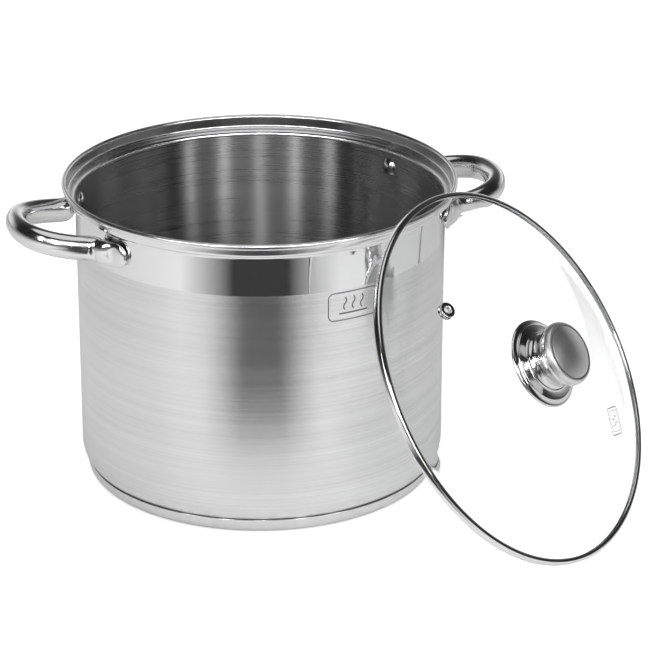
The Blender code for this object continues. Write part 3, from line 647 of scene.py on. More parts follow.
def foot_frame():
    """Where the loop's curve ends, and the start angle and centre of the foot's bend."""
    share = (HANDLE_LEG - HANDLE_ROOT) / (HANDLE_REACH - HANDLE_ROOT)
    t = math.asin(share ** (HANDLE_POWER / 2))
    out, side = loop_point(t)
    out_2, side_2 = loop_point(t + 0.01)
    start = math.atan2(side - side_2, out_2 - out)
    return t, start, (out + FOOT_BEND_R * math.sin(start), side + FOOT_BEND_R * math.cos(start))


def foot_point(turn, centre):
    return centre[0] - FOOT_BEND_R * math.sin(turn), centre[1] - FOOT_BEND_R * math.cos(turn)


def tube_height(out):
    share = max(0.0, (out - HANDLE_ROOT) / (HANDLE_REACH - HANDLE_ROOT))
    return HANDLE_Z + HANDLE_RISE * share ** 1.5


def foot_half_width(turn):
    share = max(0.0, turn / FOOT_TURN - 0.4) / 0.6
    share = share * share * (3 - 2 * share)
    return TUBE_HALF_W + (FOOT_HALF_W - TUBE_HALF_W) * share


def half_handle(bend_steps=14, loop_steps=40):
    """(point, squeeze) from the foot's end to the outermost point, on the +Y side."""
    t_leg, start, centre = foot_frame()
    stations = []
    for i in range(bend_steps):
        turn = FOOT_TURN + (start - FOOT_TURN) * i / bend_steps
        out, side = foot_point(turn, centre)
        stations.append(((out, side, tube_height(out)), foot_half_width(turn) / TUBE_HALF_W))
    for i in range(loop_steps + 1):
        out, side = loop_point(t_leg + (math.pi / 2 - t_leg) * i / loop_steps)
        stations.append(((out, max(side, 0.0), tube_height(out)), 1.0))
    return stations


print("path points on one handle:", 2 * len(half_handle()) - 1)

# %% The tree that sweeps the tube
def sweep_tree():
    inputs = [("Half width", "NodeSocketFloat"), ("Half height", "NodeSocketFloat"),
              ("Wall radius", "NodeSocketFloat"), ("Sides", "NodeSocketInt"), ("Material", "NodeSocketMaterial")]
    tree, start, end = open_tree("Swept oval tube", inputs)
    curve = add(tree, "GeometryNodeMeshToCurve", {"Mesh": start.outputs["Geometry"]})
    upright = add(tree, "GeometryNodeSetCurveNormal", {"Curve": curve.outputs[0]}, mode="Z_UP")
    centre = add(tree, "GeometryNodeInputPosition").outputs[0]
    kept = add(tree, "GeometryNodeStoreNamedAttribute",
               {"Geometry": upright.outputs[0], "Name": "centre"}, data_type="FLOAT_VECTOR")
    tree.links.new(centre, kept.inputs["Value"])
    side = add(tree, "GeometryNodeStoreNamedAttribute",
               {"Geometry": kept.outputs[0], "Name": "across"}, data_type="FLOAT_VECTOR")
    tree.links.new(add(tree, "GeometryNodeInputNormal").outputs[0], side.inputs["Value"])
    circle = add(tree, "GeometryNodeCurvePrimitiveCircle", {"Resolution": start.outputs["Sides"], "Radius": 1.0})
    size = add(tree, "ShaderNodeCombineXYZ", {0: start.outputs["Half width"], 1: start.outputs["Half height"]})
    oval = add(tree, "GeometryNodeTransform", {"Geometry": circle.outputs["Curve"], "Scale": size.outputs[0]})
    tube = add(tree, "GeometryNodeCurveToMesh", {"Curve": side.outputs[0], "Profile Curve": oval.outputs[0],
                                                 "Fill Caps": True})
    squeezed = add(tree, "GeometryNodeSetPosition", {"Geometry": tube.outputs[0],
                                                     "Offset": squeeze_offset(tree)})
    held = add(tree, "GeometryNodeSetPosition", {"Geometry": squeezed.outputs[0],
                                                 "Position": outside_wall(tree, start.outputs["Wall radius"])})
    close_tree(tree, start, end, held.outputs[0])
    return tree


def vector_maths(tree, operation, first, second=None, scale=None):
    node = add(tree, "ShaderNodeVectorMath", {0: first}, operation=operation)
    if second is not None:
        tree.links.new(second, node.inputs[1])
    if scale is not None:
        tree.links.new(scale, node.inputs["Scale"])
    return node


def named(tree, label, kind="FLOAT_VECTOR"):
    return add(tree, "GeometryNodeInputNamedAttribute", {"Name": label}, data_type=kind).outputs["Attribute"]


def squeeze_offset(tree):
    """Move each point towards the path's upright plane by its own share."""
    position = add(tree, "GeometryNodeInputPosition").outputs[0]
    across = named(tree, "across")
    arm = vector_maths(tree, "SUBTRACT", position, named(tree, "centre"))
    reach = vector_maths(tree, "DOT_PRODUCT", arm.outputs["Vector"], across).outputs["Value"]
    share = maths(tree, "SUBTRACT", named(tree, "squeeze", "FLOAT"), 1.0)
    return vector_maths(tree, "SCALE", across, scale=maths(tree, "MULTIPLY", reach, share)).outputs["Vector"]


def outside_wall(tree, wall_radius):
    """The point itself, pushed out from the pot's axis to the wall if it lies inside it."""
    position = add(tree, "GeometryNodeInputPosition").outputs[0]
    parts = add(tree, "ShaderNodeSeparateXYZ", {0: position})
    square_x = maths(tree, "MULTIPLY", parts.outputs[0], parts.outputs[0])
    square_y = maths(tree, "MULTIPLY", parts.outputs[1], parts.outputs[1])
    radius = maths(tree, "SQRT", maths(tree, "ADD", square_x, square_y))
    push = maths(tree, "DIVIDE", maths(tree, "MAXIMUM", radius, wall_radius), radius)
    x = maths(tree, "MULTIPLY", parts.outputs[0], push)
    y = maths(tree, "MULTIPLY", parts.outputs[1], push)
    return add(tree, "ShaderNodeCombineXYZ", {0: x, 1: y, 2: parts.outputs[2]}).outputs[0]


SWEEP = sweep_tree()
print("tree:", SWEEP.name, len(SWEEP.nodes), "nodes")

# %% Sweep both handles
def make_handle(name, direction, node):
    half = half_handle()
    mirrored = [((x, -y, z), squeeze) for (x, y, z), squeeze in reversed(half[:-1])]
    stations = half + mirrored
    points = [(x * direction, y * direction, z) for (x, y, z), _ in stations]
    edges = [(i, i + 1) for i in range(len(points) - 1)]
    path = points_mesh(name + "_path", points, edges, squeeze=[float(squeeze) for _, squeeze in stations])
    sizes = {"Half width": TUBE_HALF_W, "Half height": TUBE_HALF_H, "Wall radius": BODY_R + GAP, "Sides": 40,
             "Material": HANDLE_MIRROR}
    settle(run_tree(name, path, SWEEP, sizes, 50), "pot", "steel_polished", node)


make_handle("handle_tube_right", 1.0, "handle_right")
make_handle("handle_tube_left", -1.0, "handle_left")

# %% [markdown]
# ## The ears
#
# A solid ear is brazed into each end of the tube.  It has a shoulder as big as the tube, so that only a thin
# line shows at the joint, then it thins to a rounded pad that follows the wall.  A punch leaves the pad a
# little dished over the hidden rivet.  Each ear is a loft: oval sections placed along the foot and the wall.

# %% Loft the ears
EAR_AZ = math.radians(26)
EAR_HALF_T = 0.0025
EAR_TIP_SHARE = 0.45
EAR_ROUND = 0.0088
EAR_SIDES = 64
DISH_R = 0.0058
DISH_DEPTH = 0.0002


def wall_ring(azimuth, half_t, half_h, height):
    reach = BODY_R + GAP + half_t
    place = Vector((reach * math.cos(azimuth), reach * math.sin(azimuth), height))
    return place, Vector((-math.sin(azimuth), math.cos(azimuth), 0)), half_t, half_h


def ear_rings(pad_steps=30, tip_steps=22):
    """(centre, direction, half thickness, half height) of each section, on the +Y side of a +X handle."""
    _, _, centre = foot_frame()
    rings = []
    joint = FOOT_TURN + 1.5 * GAP / FOOT_BEND_R
    for turn, inset in ((joint - 0.02, 0.0012), (joint, 0.0012), (joint, 0.0003), (joint + 0.03, 0.0)):
        out, side = foot_point(turn, centre)
        place = Vector((out, side, tube_height(out)))
        along = Vector((-math.cos(turn), math.sin(turn), 0))
        rings.append((place, along, FOOT_HALF_W - inset, TUBE_HALF_H - inset))
    start = math.atan2(place.y, place.x)
    for i in range(1, pad_steps + 1):
        share = i / pad_steps
        thin = share * share * (3 - 2 * share)
        half_t = FOOT_HALF_W + (EAR_HALF_T - FOOT_HALF_W) * thin
        height = place.z + (HANDLE_Z - place.z) * share
        rings.append(wall_ring(start + (EAR_AZ - start) * share, half_t, TUBE_HALF_H, height))
    for i in range(1, tip_steps + 1):
        angle = math.pi / 2 * i / tip_steps * 0.985
        half_t = EAR_HALF_T * (EAR_TIP_SHARE + (1 - EAR_TIP_SHARE) * math.cos(angle))
        azimuth = EAR_AZ + EAR_ROUND / BODY_R * math.sin(angle)
        rings.append(wall_ring(azimuth, half_t, TUBE_HALF_H * math.cos(angle), HANDLE_Z))
    return rings


def dish(point):
    """Sink a point of the pad towards the wall near the rivet's axis."""
    middle = Vector((math.cos(EAR_AZ), math.sin(EAR_AZ), 0))
    offset = point - middle * point.dot(middle)
    offset.z = point.z - HANDLE_Z
    away = offset.length / DISH_R
    reach = math.hypot(point.x, point.y)
    outer_side = reach > BODY_R + GAP + EAR_HALF_T
    if away < 1 and outer_side:
        share = min(1.0, (1 - away) * 5)
        sunk = reach - DISH_DEPTH * share * share * (3 - 2 * share)
        point.x *= sunk / reach
        point.y *= sunk / reach
    return point


def ear_section(place, along, half_t, half_h):
    """One rounded section; points that would enter the wall are laid against it."""
    normal = along.cross(Vector((0, 0, 1)))
    points = []
    for k in range(EAR_SIDES):
        angle = 2 * math.pi * k / EAR_SIDES
        point = place + normal * (half_t * math.cos(angle)) + Vector((0, 0, half_h * math.sin(angle)))
        reach = math.hypot(point.x, point.y)
        if reach < BODY_R + GAP:
            point.x *= (BODY_R + GAP) / reach
            point.y *= (BODY_R + GAP) / reach
        points.append(dish(point))
    return points


def make_ear(which, direction, side):
    bm = bmesh.new()
    rings = []
    for place, along, half_t, half_h in ear_rings():
        section = ear_section(place, along, half_t, half_h)
        rings.append([bm.verts.new((p.x * direction, p.y * side * direction, p.z)) for p in section])
    for low, high in zip(rings, rings[1:]):
        for k in range(EAR_SIDES):
            j = (k + 1) % EAR_SIDES
            bm.faces.new((low[k], low[j], high[j], high[k]))
    bm.faces.new(rings[0])
    bm.faces.new(rings[-1])
    pad = as_object("ear_pad_" + which, bm, [HANDLE_MIRROR], sharp=50)
    settle(pad, "pot", "steel_polished", "ear_" + which)


EARS = (("right_back", 1, 1), ("right_front", 1, -1), ("left_front", -1, 1), ("left_back", -1, -1))
for which, direction, side in EARS:
    make_ear(which, direction, side)

# %% [markdown]
# ## The rivets
#
# Inside the pot four rivets show their round heads.  One head is turned from an outline, and a tree sets it on
# four points, each turned to face the pot's axis.

# %% Set the rivets
RIVET_R = 0.0030
RIVET_HEAD_R = 0.0065
RIVET_HEAD_H = 0.0026
RIVET_SEAT = 0.00125


def rivet_outline():
    """Dome head and a short shank, with +Z pointing out of the pot."""
    under = -RIVET_SEAT
    dome_r = (RIVET_HEAD_R ** 2 + RIVET_HEAD_H ** 2) / (2 * RIVET_HEAD_H)
    half = math.degrees(math.asin(RIVET_HEAD_R / dome_r))
    points = arc(0.0, under - RIVET_HEAD_H + dome_r, dome_r, -90, -90 + half, 10)
    return points + [(RIVET_HEAD_R, under + 0.0004), (RIVET_R, under + 0.0004), (RIVET_R, 0.0), (0.0, 0.0)]


def copies_tree():
    inputs = [("Pattern", "NodeSocketObject"), ("Material", "NodeSocketMaterial")]
    tree, start, end = open_tree("Copies on points", inputs)
    pattern = add(tree, "GeometryNodeObjectInfo", {"Object": start.outputs["Pattern"]})
    copies = add(tree, "GeometryNodeInstanceOnPoints", {"Points": start.outputs["Geometry"],
                                                        "Instance": pattern.outputs["Geometry"],
                                                        "Rotation": named(tree, "turn")})
    close_tree(tree, start, end, copies.outputs[0])
    return tree


def set_rivets():
    azimuths = [EAR_AZ, math.pi - EAR_AZ, math.pi + EAR_AZ, -EAR_AZ]
    places = [(BODY_R * math.cos(a), BODY_R * math.sin(a), HANDLE_Z) for a in azimuths]
    turns = [(0.0, math.pi / 2, a) for a in azimuths]
    pattern = turned("rivet_pattern", rivet_outline(), [HANDLE_MIRROR], 32, False)
    heads = run_tree("rivet_heads", points_mesh("rivet_points", places, turn=turns), copies_tree(),
                     {"Pattern": pattern, "Material": HANDLE_MIRROR})
    bpy.data.objects.remove(pattern)
    settle(heads, "pot", "steel_polished", *["rivet_" + which for which, _, _ in EARS])


set_rivets()

# %% [markdown]
# ## The jar rack
#
# The rack is a stamped disc with a turned-down rim that stands on the pot's floor, so that no jar touches the
# hot base.  Its holes let water through.  The tree sets a punch on every hole's centre, cuts the disc with all
# of them at once, and adds the small raised collar that a real punch leaves round each hole.

# %% Stamp the rack
rack_low, rack_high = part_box("jar_rack")
RACK_R = rack_high.x
RACK_TOP_Z = rack_high.z
RACK_BEND_R = 0.0030
RACK_HOLE_R = 0.0080
RACK_CENTRE_HOLE_R = 0.0150
RACK_RINGS = ((0.044, 6), (0.070, 10), (0.096, 14))
COLLAR_HALF_T = 0.0005
OFF_GRID = Matrix.Rotation(math.radians(0.6), 4, "Z")


def rack_outline():
    bend_r, bend_z = RACK_R - RACK_BEND_R, RACK_TOP_Z - RACK_BEND_R
    points = [(0.0, RACK_TOP_Z)] + arc(bend_r, bend_z, RACK_BEND_R, 90, 0, 8)
    points += [(RACK_R, rack_low.z), (RACK_R - SHEET, rack_low.z)]
    points += arc(bend_r, bend_z, RACK_BEND_R - SHEET, 0, 90, 8)
    return points + [(0.0, RACK_TOP_Z - SHEET)]


def hole_points():
    """Centres of the holes, and each hole's size as a share of the common one."""
    centres, sizes = [(0.0, 0.0, RACK_TOP_Z)], [RACK_CENTRE_HOLE_R / RACK_HOLE_R]
    for ring_r, count in RACK_RINGS:
        for i in range(count):
            angle = 2 * math.pi * (i + 0.5) / count
            centres.append((ring_r * math.cos(angle), ring_r * math.sin(angle), RACK_TOP_Z))
            sizes.append(1.0)
    return points_mesh("hole_points", centres, wide=sizes)


def rack_tree():
    inputs = [("Disc", "NodeSocketObject"), ("Hole radius", "NodeSocketFloat"),
              ("Collar thickness", "NodeSocketFloat"), ("Material", "NodeSocketMaterial")]
    tree, start, end = open_tree("Punched disc", inputs)
    disc = add(tree, "GeometryNodeObjectInfo", {"Object": start.outputs["Disc"]})
    wide = named(tree, "wide", "FLOAT")
    size = add(tree, "ShaderNodeCombineXYZ", {0: wide, 1: wide, 2: 1.0}).outputs[0]
    punch = add(tree, "GeometryNodeMeshCylinder", {"Vertices": 32, "Radius": start.outputs["Hole radius"],
                                                   "Depth": 0.006})
    punches = add(tree, "GeometryNodeInstanceOnPoints", {"Points": start.outputs["Geometry"],
                                                         "Instance": punch.outputs["Mesh"], "Scale": size})
    solid = add(tree, "GeometryNodeRealizeInstances", {"Geometry": punches.outputs[0]})
    cut = add(tree, "GeometryNodeMeshBoolean", {"Mesh 1": disc.outputs["Geometry"], "Mesh 2": solid.outputs[0]},
              operation="DIFFERENCE", solver="EXACT")
    ring = add(tree, "GeometryNodeCurvePrimitiveCircle", {"Resolution": 32,
                                                          "Radius": start.outputs["Hole radius"]})
    wire = add(tree, "GeometryNodeCurvePrimitiveCircle", {"Resolution": 8,
                                                          "Radius": start.outputs["Collar thickness"]})
    collar = add(tree, "GeometryNodeCurveToMesh", {"Curve": ring.outputs[0], "Profile Curve": wire.outputs[0]})
    collars = add(tree, "GeometryNodeInstanceOnPoints", {"Points": start.outputs["Geometry"],
                                                         "Instance": collar.outputs[0], "Scale": size})
    both = add(tree, "GeometryNodeJoinGeometry", {"Geometry": cut.outputs["Mesh"]})
    tree.links.new(collars.outputs[0], both.inputs["Geometry"])
    close_tree(tree, start, end, both.outputs[0])
    return tree


def stamp_rack():
    """The disc's spokes are turned off the holes' own corners, so that the Boolean meets no shared edges."""
    disc = turned("rack_disc", rack_outline(), [RACK_SATIN], 157, False, OFF_GRID)
    sizes = {"Disc": disc, "Hole radius": RACK_HOLE_R, "Collar thickness": COLLAR_HALF_T, "Material": RACK_SATIN}
    rack = run_tree("punched_rack", hole_points(), rack_tree(), sizes, 30)
    bpy.data.objects.remove(disc)
    settle(rack, "rack", "steel_satin", "jar_rack")


stamp_rack()

# %% [markdown]
# ## The lid's glass
#
# The glass is a slumped dome with a flat margin where the band holds it.  The dome's outline is one arc, blended
# into the flat by a short parabola.  The inner face runs one glass thickness below the outer one, measured
# square to it.  The vent hole is drilled with a Boolean, which is kept in the mesh.

# %% Shape the glass
BAND_R = 0.1341
BAND_SHEET = 0.0006
BAND_FLANGE = 0.0038
GLASS_T = 0.0040
DOME_R = 0.3032
DOME_EDGE_R = 0.1210
DOME_BLEND = 0.0040
GLASS_BORE_R = 0.0045
VENT_R = 0.0830
VENT_AZ = math.radians(130.2)
VENT_HOLE_R = 0.0042


def glass_top(r):
    """Height and slope of the glass's outer face at radius r."""
    flat = GLASS_T / 2
    base = math.sqrt(DOME_R ** 2 - DOME_EDGE_R ** 2) - flat
    inner, outer = DOME_EDGE_R - DOME_BLEND, DOME_EDGE_R + DOME_BLEND
    if r >= outer:
        return flat, 0.0
    if r > inner:
        bend = (math.sqrt(DOME_R ** 2 - inner ** 2) - base - flat) / (outer - inner) ** 2
        return flat + bend * (outer - r) ** 2, 2 * bend * (outer - r)
    drop = math.sqrt(DOME_R ** 2 - r ** 2)
    return drop - base, r / drop


def glass_outline():
    inner, outer = DOME_EDGE_R - DOME_BLEND, DOME_EDGE_R + DOME_BLEND
    edge = BAND_R - BAND_SHEET - GAP
    radii = [GLASS_BORE_R + (inner - GLASS_BORE_R) * i / 30 for i in range(31)]
    radii += [inner + (outer - inner) * i / 8 for i in range(1, 9)] + [edge]
    top, under = [], []
    for r in radii:
        height, slope = glass_top(r)
        tilt = math.atan(slope)
        top.append((r, height))
        under.append((r - GLASS_T * math.sin(tilt), height - GLASS_T * math.cos(tilt)))
    return top + under[::-1]


def vent_place():
    """Matrix that stands a part on the vent's axis, square to the glass, its origin at mid thickness."""
    height, slope = glass_top(VENT_R)
    tilt = math.atan(slope)
    r = VENT_R - GLASS_T / 2 * math.sin(tilt)
    middle = height - GLASS_T / 2 * math.cos(tilt)
    move = Matrix.Translation((r * math.cos(VENT_AZ), r * math.sin(VENT_AZ), middle))
    return move @ Matrix.Rotation(VENT_AZ, 4, "Z") @ Matrix.Rotation(tilt, 4, "Y")


def drill(piece, cutter):
    modifier = piece.modifiers.new("drill", "BOOLEAN")
    modifier.operation = "DIFFERENCE"
    modifier.solver = "EXACT"
    modifier.object = cutter
    keep_result(piece)
    bpy.data.objects.remove(cutter)
    return piece


def shape_glass():
    glass = turned("lid_glass_dome", glass_outline(), [GLASS], 192, True, LID_PLACE)
    outline = [(0.0, -GLASS_T), (VENT_HOLE_R, -GLASS_T), (VENT_HOLE_R, GLASS_T), (0.0, GLASS_T)]
    bit = turned("vent_drill", outline, [GLASS], 40, False, LID_PLACE @ vent_place())
    settle(drill(glass, bit), "lid", "clear_glass", "lid_glass")


shape_glass()

# %% [markdown]
# ## The lid's band and the steam vent
#
# A steel strip is rolled over the glass's edge, so its section is a channel with round shoulders.  The vent is
# an eyelet: its cupped flange lies on the glass, its tube passes through, and a collar holds it from below.

# %% Turn the band and the vent
VENT_TUBE_R = 0.0039
VENT_BORE_R = 0.0024
VENT_FLANGE_R = 0.0056


def band_outline():
    inner_r = BAND_R - BAND_FLANGE
    channel_r = BAND_R - BAND_SHEET
    channel_z = GLASS_T / 2 + GAP
    outer_z = channel_z + BAND_SHEET
    round_r = BAND_SHEET * 3
    edge = BAND_SHEET / 2
    points = arc(inner_r + edge, -channel_z - edge, edge, 90, 270, 6)
    points += arc(BAND_R - round_r, -outer_z + round_r, round_r, -90, 0, 8)
    points += arc(BAND_R - round_r, outer_z - round_r, round_r, 0, 90, 8)
    points += arc(inner_r + edge, channel_z + edge, edge, 90, 270, 6)
    return points + [(channel_r, channel_z), (channel_r, -channel_z)]


def eyelet_outline():
    top = GLASS_T / 2 + GAP
    lip_r = 0.0005
    end = -GLASS_T / 2 - 0.0020
    points = [(VENT_BORE_R, end + 0.0002), (VENT_BORE_R + 0.0002, end), (VENT_TUBE_R - 0.0002, end),
              (VENT_TUBE_R, end + 0.0002), (VENT_TUBE_R, top)]
    points += arc(VENT_FLANGE_R - lip_r, top + lip_r, lip_r, -90, 120, 8)
    points += arc(VENT_BORE_R + 0.0010, top - 0.0001, 0.0010, 80, 180, 8)
    return points


def collar_outline():
    inner_r = VENT_TUBE_R + GAP
    top = -GLASS_T / 2 - GAP
    points = [(inner_r, top), (inner_r, top - 0.0010)]
    return points + arc(VENT_FLANGE_R - 0.0008, top - 0.0002, 0.0008, -90, 0, 6) + [(VENT_FLANGE_R, top)]


settle(turned("lid_rim_band", band_outline(), [LID_MIRROR], 224, True, LID_PLACE), "lid", "steel_polished",
       "lid_band")
settle(turned("steam_eyelet", eyelet_outline(), [LID_MIRROR], 48, True, LID_PLACE @ vent_place()), "lid",
       "steel_polished", "vent_eyelet")
settle(turned("steam_collar", collar_outline(), [LID_MIRROR], 48, True, LID_PLACE @ vent_place()), "lid",
       "steel_polished", "vent_collar")

# %% [markdown]
# ## The knob
#
# The knob stands on a stepped plate with a rolled edge.  Its sleeve is one drawn piece: it flares at the foot,
# narrows to a waist and swells to a head that fits the fingers.  A satin disc closes the top.  A screw from
# inside the lid holds it all, with a washer under the glass and a pad above it.  The sleeve, the disc and the
# core turn on the screw, so they ride on the knob's own body.

# %% Sizes of the knob, in the lid's frame
PLATE_Z = 0.0262
PLATE_R = 0.0312
KNOB_Z = 0.0323
WAIST_R = 0.0183
HEAD_R = 0.0224
HEAD_Z = 0.0478
FACE_R = 0.0196
FACE_Z = 0.0526
TOP_Z = 0.0563
SCREW_R = 0.0025
SCREW_TOP_Z = 0.0440
WASHER_R = 0.0110
SCREW_HEAD_R = 0.0050
SCREW_HEAD_H = 0.0026
CROSS_ARM = 0.0026
CROSS_HALF_W = 0.0005
CROSS_DEPTH = 0.0014

# %% Turn the plate, the pad, the washer and the screw
def plate_outline():
    seat_z, top_z = PLATE_Z + 0.0027, KNOB_Z - GAP
    bore = SCREW_R + GAP
    points = [(bore, seat_z), (PLATE_R - 0.0046, seat_z), (PLATE_R - 0.0037, PLATE_Z)]
    points += arc(PLATE_R - 0.0012, PLATE_Z + 0.0012, 0.0012, -90, 90, 12)
    points.append((PLATE_R - 0.0036, PLATE_Z + 0.0031))
    points += arc(PLATE_R - 0.0047, PLATE_Z + 0.0034, 0.0009, 0, 90, 8)
    points.append((PLATE_R - 0.0095, PLATE_Z + 0.0051))
    points += arc(PLATE_R - 0.0106, top_z - 0.0004, 0.0004, 10, 90, 5)
    return points + [(bore, top_z)]


def pad_outline():
    inner_r, outer_r, top_z = 0.0060, PLATE_R - 0.0055, PLATE_Z + 0.0027 - GAP
    points = [(inner_r, top_z), (outer_r - 0.0003, top_z), (outer_r, top_z - 0.0003)]
    for i in range(9):
        r = outer_r + (inner_r - outer_r) * i / 8
        points.append((r, glass_top(r)[0] + GAP))
    return points


def washer_top():
    return glass_top(WASHER_R)[0] - GLASS_T - 1.3 * GAP


def washer_outline():
    bore, top = SCREW_R + GAP, washer_top()
    points = [(bore, top), (WASHER_R, top)] + arc(WASHER_R - 0.0006, top - 0.0004, 0.0006, 0, -90, 6)
    return points + [(bore, top - 0.0010)]


def screw_outline():
    head_top = washer_top() - 0.0010 - GAP
    low = head_top - SCREW_HEAD_H
    points = [(0.0, low)] + arc(SCREW_HEAD_R - 0.0020, low + 0.0020, 0.0020, -90, 0, 10)
    points += [(SCREW_HEAD_R, head_top), (SCREW_R, head_top), (SCREW_R, SCREW_TOP_Z - 0.0006)]
    return points + [(SCREW_R - 0.0006, SCREW_TOP_Z), (0.0, SCREW_TOP_Z)]


def cross_recess():
    """Plus-shaped cutter for the screwdriver's cross in the screw's head."""
    low = washer_top() - 0.0010 - GAP - SCREW_HEAD_H
    outline = []
    for turn in range(4):
        spin = Matrix.Rotation(turn * math.pi / 2, 2)
        for x, y in ((CROSS_ARM, -CROSS_HALF_W), (CROSS_ARM, CROSS_HALF_W), (CROSS_HALF_W, CROSS_HALF_W)):
            outline.append(spin @ Vector((x, y)))
    bm = bmesh.new()
    floor = [bm.verts.new((p.x, p.y, low - CROSS_DEPTH)) for p in outline]
    roof = [bm.verts.new((p.x, p.y, low + CROSS_DEPTH)) for p in outline]
    for i in range(len(outline)):
        j = (i + 1) % len(outline)
        bm.faces.new((floor[i], floor[j], roof[j], roof[i]))
    bm.faces.new(floor)
    bm.faces.new(roof)
    return as_object("cross_punch", bm, [LID_MIRROR], LID_PLACE)


def make_screw():
    screw = turned("knob_pan_screw", screw_outline(), [LID_MIRROR], 61, False, LID_PLACE @ OFF_GRID)
    settle(drill(screw, cross_recess()), "lid", "steel_satin", "knob_screw")


settle(turned("knob_plate", plate_outline(), [KNOB_MIRROR], 128, True, LID_PLACE, sharp=50), "lid",
       "steel_polished", "knob_base")
settle(turned("knob_pad", pad_outline(), [SILICONE], 96, True, LID_PLACE), "lid", "silicone", "knob_gasket")
settle(turned("glass_washer", washer_outline(), [LID_MIRROR], 96, True, LID_PLACE), "lid", "steel_satin",
       "under_washer")
make_screw()

# %% Turn the sleeve and the face
def sleeve_curve():
    """Outside of the sleeve, from its foot to the rim of its face."""
    foot_r = WAIST_R + 0.0017
    waist_z = KNOB_Z + 0.0042
    points = arc(foot_r - 0.0005, KNOB_Z + 0.0005, 0.0005, -60, 40, 4)
    points += [(WAIST_R + 0.0011, KNOB_Z + 0.0013), (WAIST_R + 0.0004, KNOB_Z + 0.0024)]
    for i in range(21):
        swell = (1 - math.cos(math.pi * i / 20)) / 2
        points.append((WAIST_R + (HEAD_R - WAIST_R) * swell, waist_z + (HEAD_Z - waist_z) * i / 20))
    for i in range(1, 13):
        angle = math.pi / 2 * i / 12
        r = FACE_R + (HEAD_R - FACE_R) * math.cos(angle)
        points.append((r, HEAD_Z + (FACE_Z - HEAD_Z) * math.sin(angle)))
    return points


def sleeve_outline():
    outside = sleeve_curve()
    inside = [(r - SHEET, z) for r, z in outside[:-1]]
    inside.append((FACE_R - SHEET, FACE_Z - 0.0002))
    return outside + inside[::-1]


def face_outline():
    edge_r = FACE_R - SHEET - GAP
    rise = TOP_Z - FACE_Z
    dome_r = (edge_r ** 2 + rise ** 2) / (2 * rise)
    half = math.degrees(math.asin(edge_r / dome_r))
    points = arc(0.0, TOP_Z - dome_r, dome_r, 90, 90 - half, 24)
    points += [(edge_r, FACE_Z - 0.0030), (edge_r - SHEET, FACE_Z - 0.0030)]
    under = arc(0.0, TOP_Z - dome_r, dome_r - SHEET, 90 - half, 90, 24)
    return points + [(edge_r - SHEET, FACE_Z - SHEET)] + under[1:]


def make_sleeve():
    """Polished below; the satin of the face runs on over the head's rounded edge."""
    outline = sleeve_outline()
    outer = len(outline) // 2
    zones = [1 if i < outer and z > HEAD_Z + 0.0008 else 0 for i, (_, z) in enumerate(outline)]
    sleeve = turned("knob_sleeve", outline, [KNOB_MIRROR, KNOB_SATIN], 128, True, LID_PLACE, zones, 50)
    settle(sleeve, "knob", "steel_polished", "knob_shell")


make_sleeve()
settle(turned("knob_face", face_outline(), [KNOB_SATIN], 128, False, LID_PLACE), "knob", "steel_satin",
       "knob_top_cap")

insert = frame["nodes"]["knob_insert"]
insert.data.materials.clear()
insert.data.materials.append(RESIN)
print("knob core:", insert.name)

# %% [markdown]
# ## Etched marks
#
# A maker etches a small mark on the wall and another on the glass.  Here both are plain drawings of our own: a
# frame with rising steam for the wall, and a rounded square with a wave for the glass.  A stroke is a centre
# line on a flat sheet.  It is widened to a thin strip, and every corner of the strip is laid on the surface.

# %% Helpers for strokes
MARK_T = 0.00006


def stroke_strip(bm, line, width, lay, closed=False):
    """Widen a flat centre line to a thin closed strip; lay(x, y, lift) gives each corner's place."""
    count = len(line)
    rings = []
    for i, here in enumerate(line):
        before = line[i - 1] if (i or closed) else here
        after = line[(i + 1) % count] if (i < count - 1 or closed) else here
        along = (Vector(after) - Vector(before)).normalized()
        side = Vector((-along.y, along.x)) * width / 2
        corners = [(side, MARK_T), (-side, MARK_T), (-side, 0.0), (side, 0.0)]
        rings.append([bm.verts.new(lay(here[0] + s.x, here[1] + s.y, lift)) for s, lift in corners])
    pairs = list(zip(rings, rings[1:])) + ([(rings[-1], rings[0])] if closed else [])
    for low, high in pairs:
        for k in range(4):
            j = (k + 1) % 4
            bm.faces.new((low[k], low[j], high[j], high[k]))
    if not closed:
        bm.faces.new(rings[0])
        bm.faces.new(rings[-1])


def rounded_frame(half_w, half_h, corner, steps=6):
    """Centre line of a rounded rectangle."""
    line = []
    for turn, (x, y) in enumerate(((1, 1), (-1, 1), (-1, -1), (1, -1))):
        start = 90 * turn
        line += arc(x * (half_w - corner), y * (half_h - corner), corner, start, start + 90, steps)
    return line


def divided(line, step=0.0012):
    """The same closed line with extra points, so that it can bend over a curved surface."""
    points = []
    for here, after in zip(line, line[1:] + line[:1]):
        parts = max(1, int(math.dist(here, after) / step))
        points += [tuple(Vector(here).lerp(Vector(after), i / parts)) for i in range(parts)]
    return points


def wave(x, y, half_length, swing, upright=True, steps=18):
    """An S-shaped stroke through (x, y)."""
    points = []
    for i in range(steps + 1):
        share = 2 * i / steps - 1
        sideways = swing * math.sin(math.pi * share)
        points.append((x + sideways, y + half_length * share) if upright else
                      (x + half_length * share, y + sideways))
    return points


# %% Lay the marks
WALL_MARK_AZ = math.radians(-78)
WALL_MARK_Z = 0.1670
GLASS_MARK = (0.0665, -0.0640)


def on_wall(x, y, lift):
    reach = BODY_R + 0.00002 + lift
    azimuth = WALL_MARK_AZ + x / BODY_R
    return reach * math.cos(azimuth), reach * math.sin(azimuth), WALL_MARK_Z + y


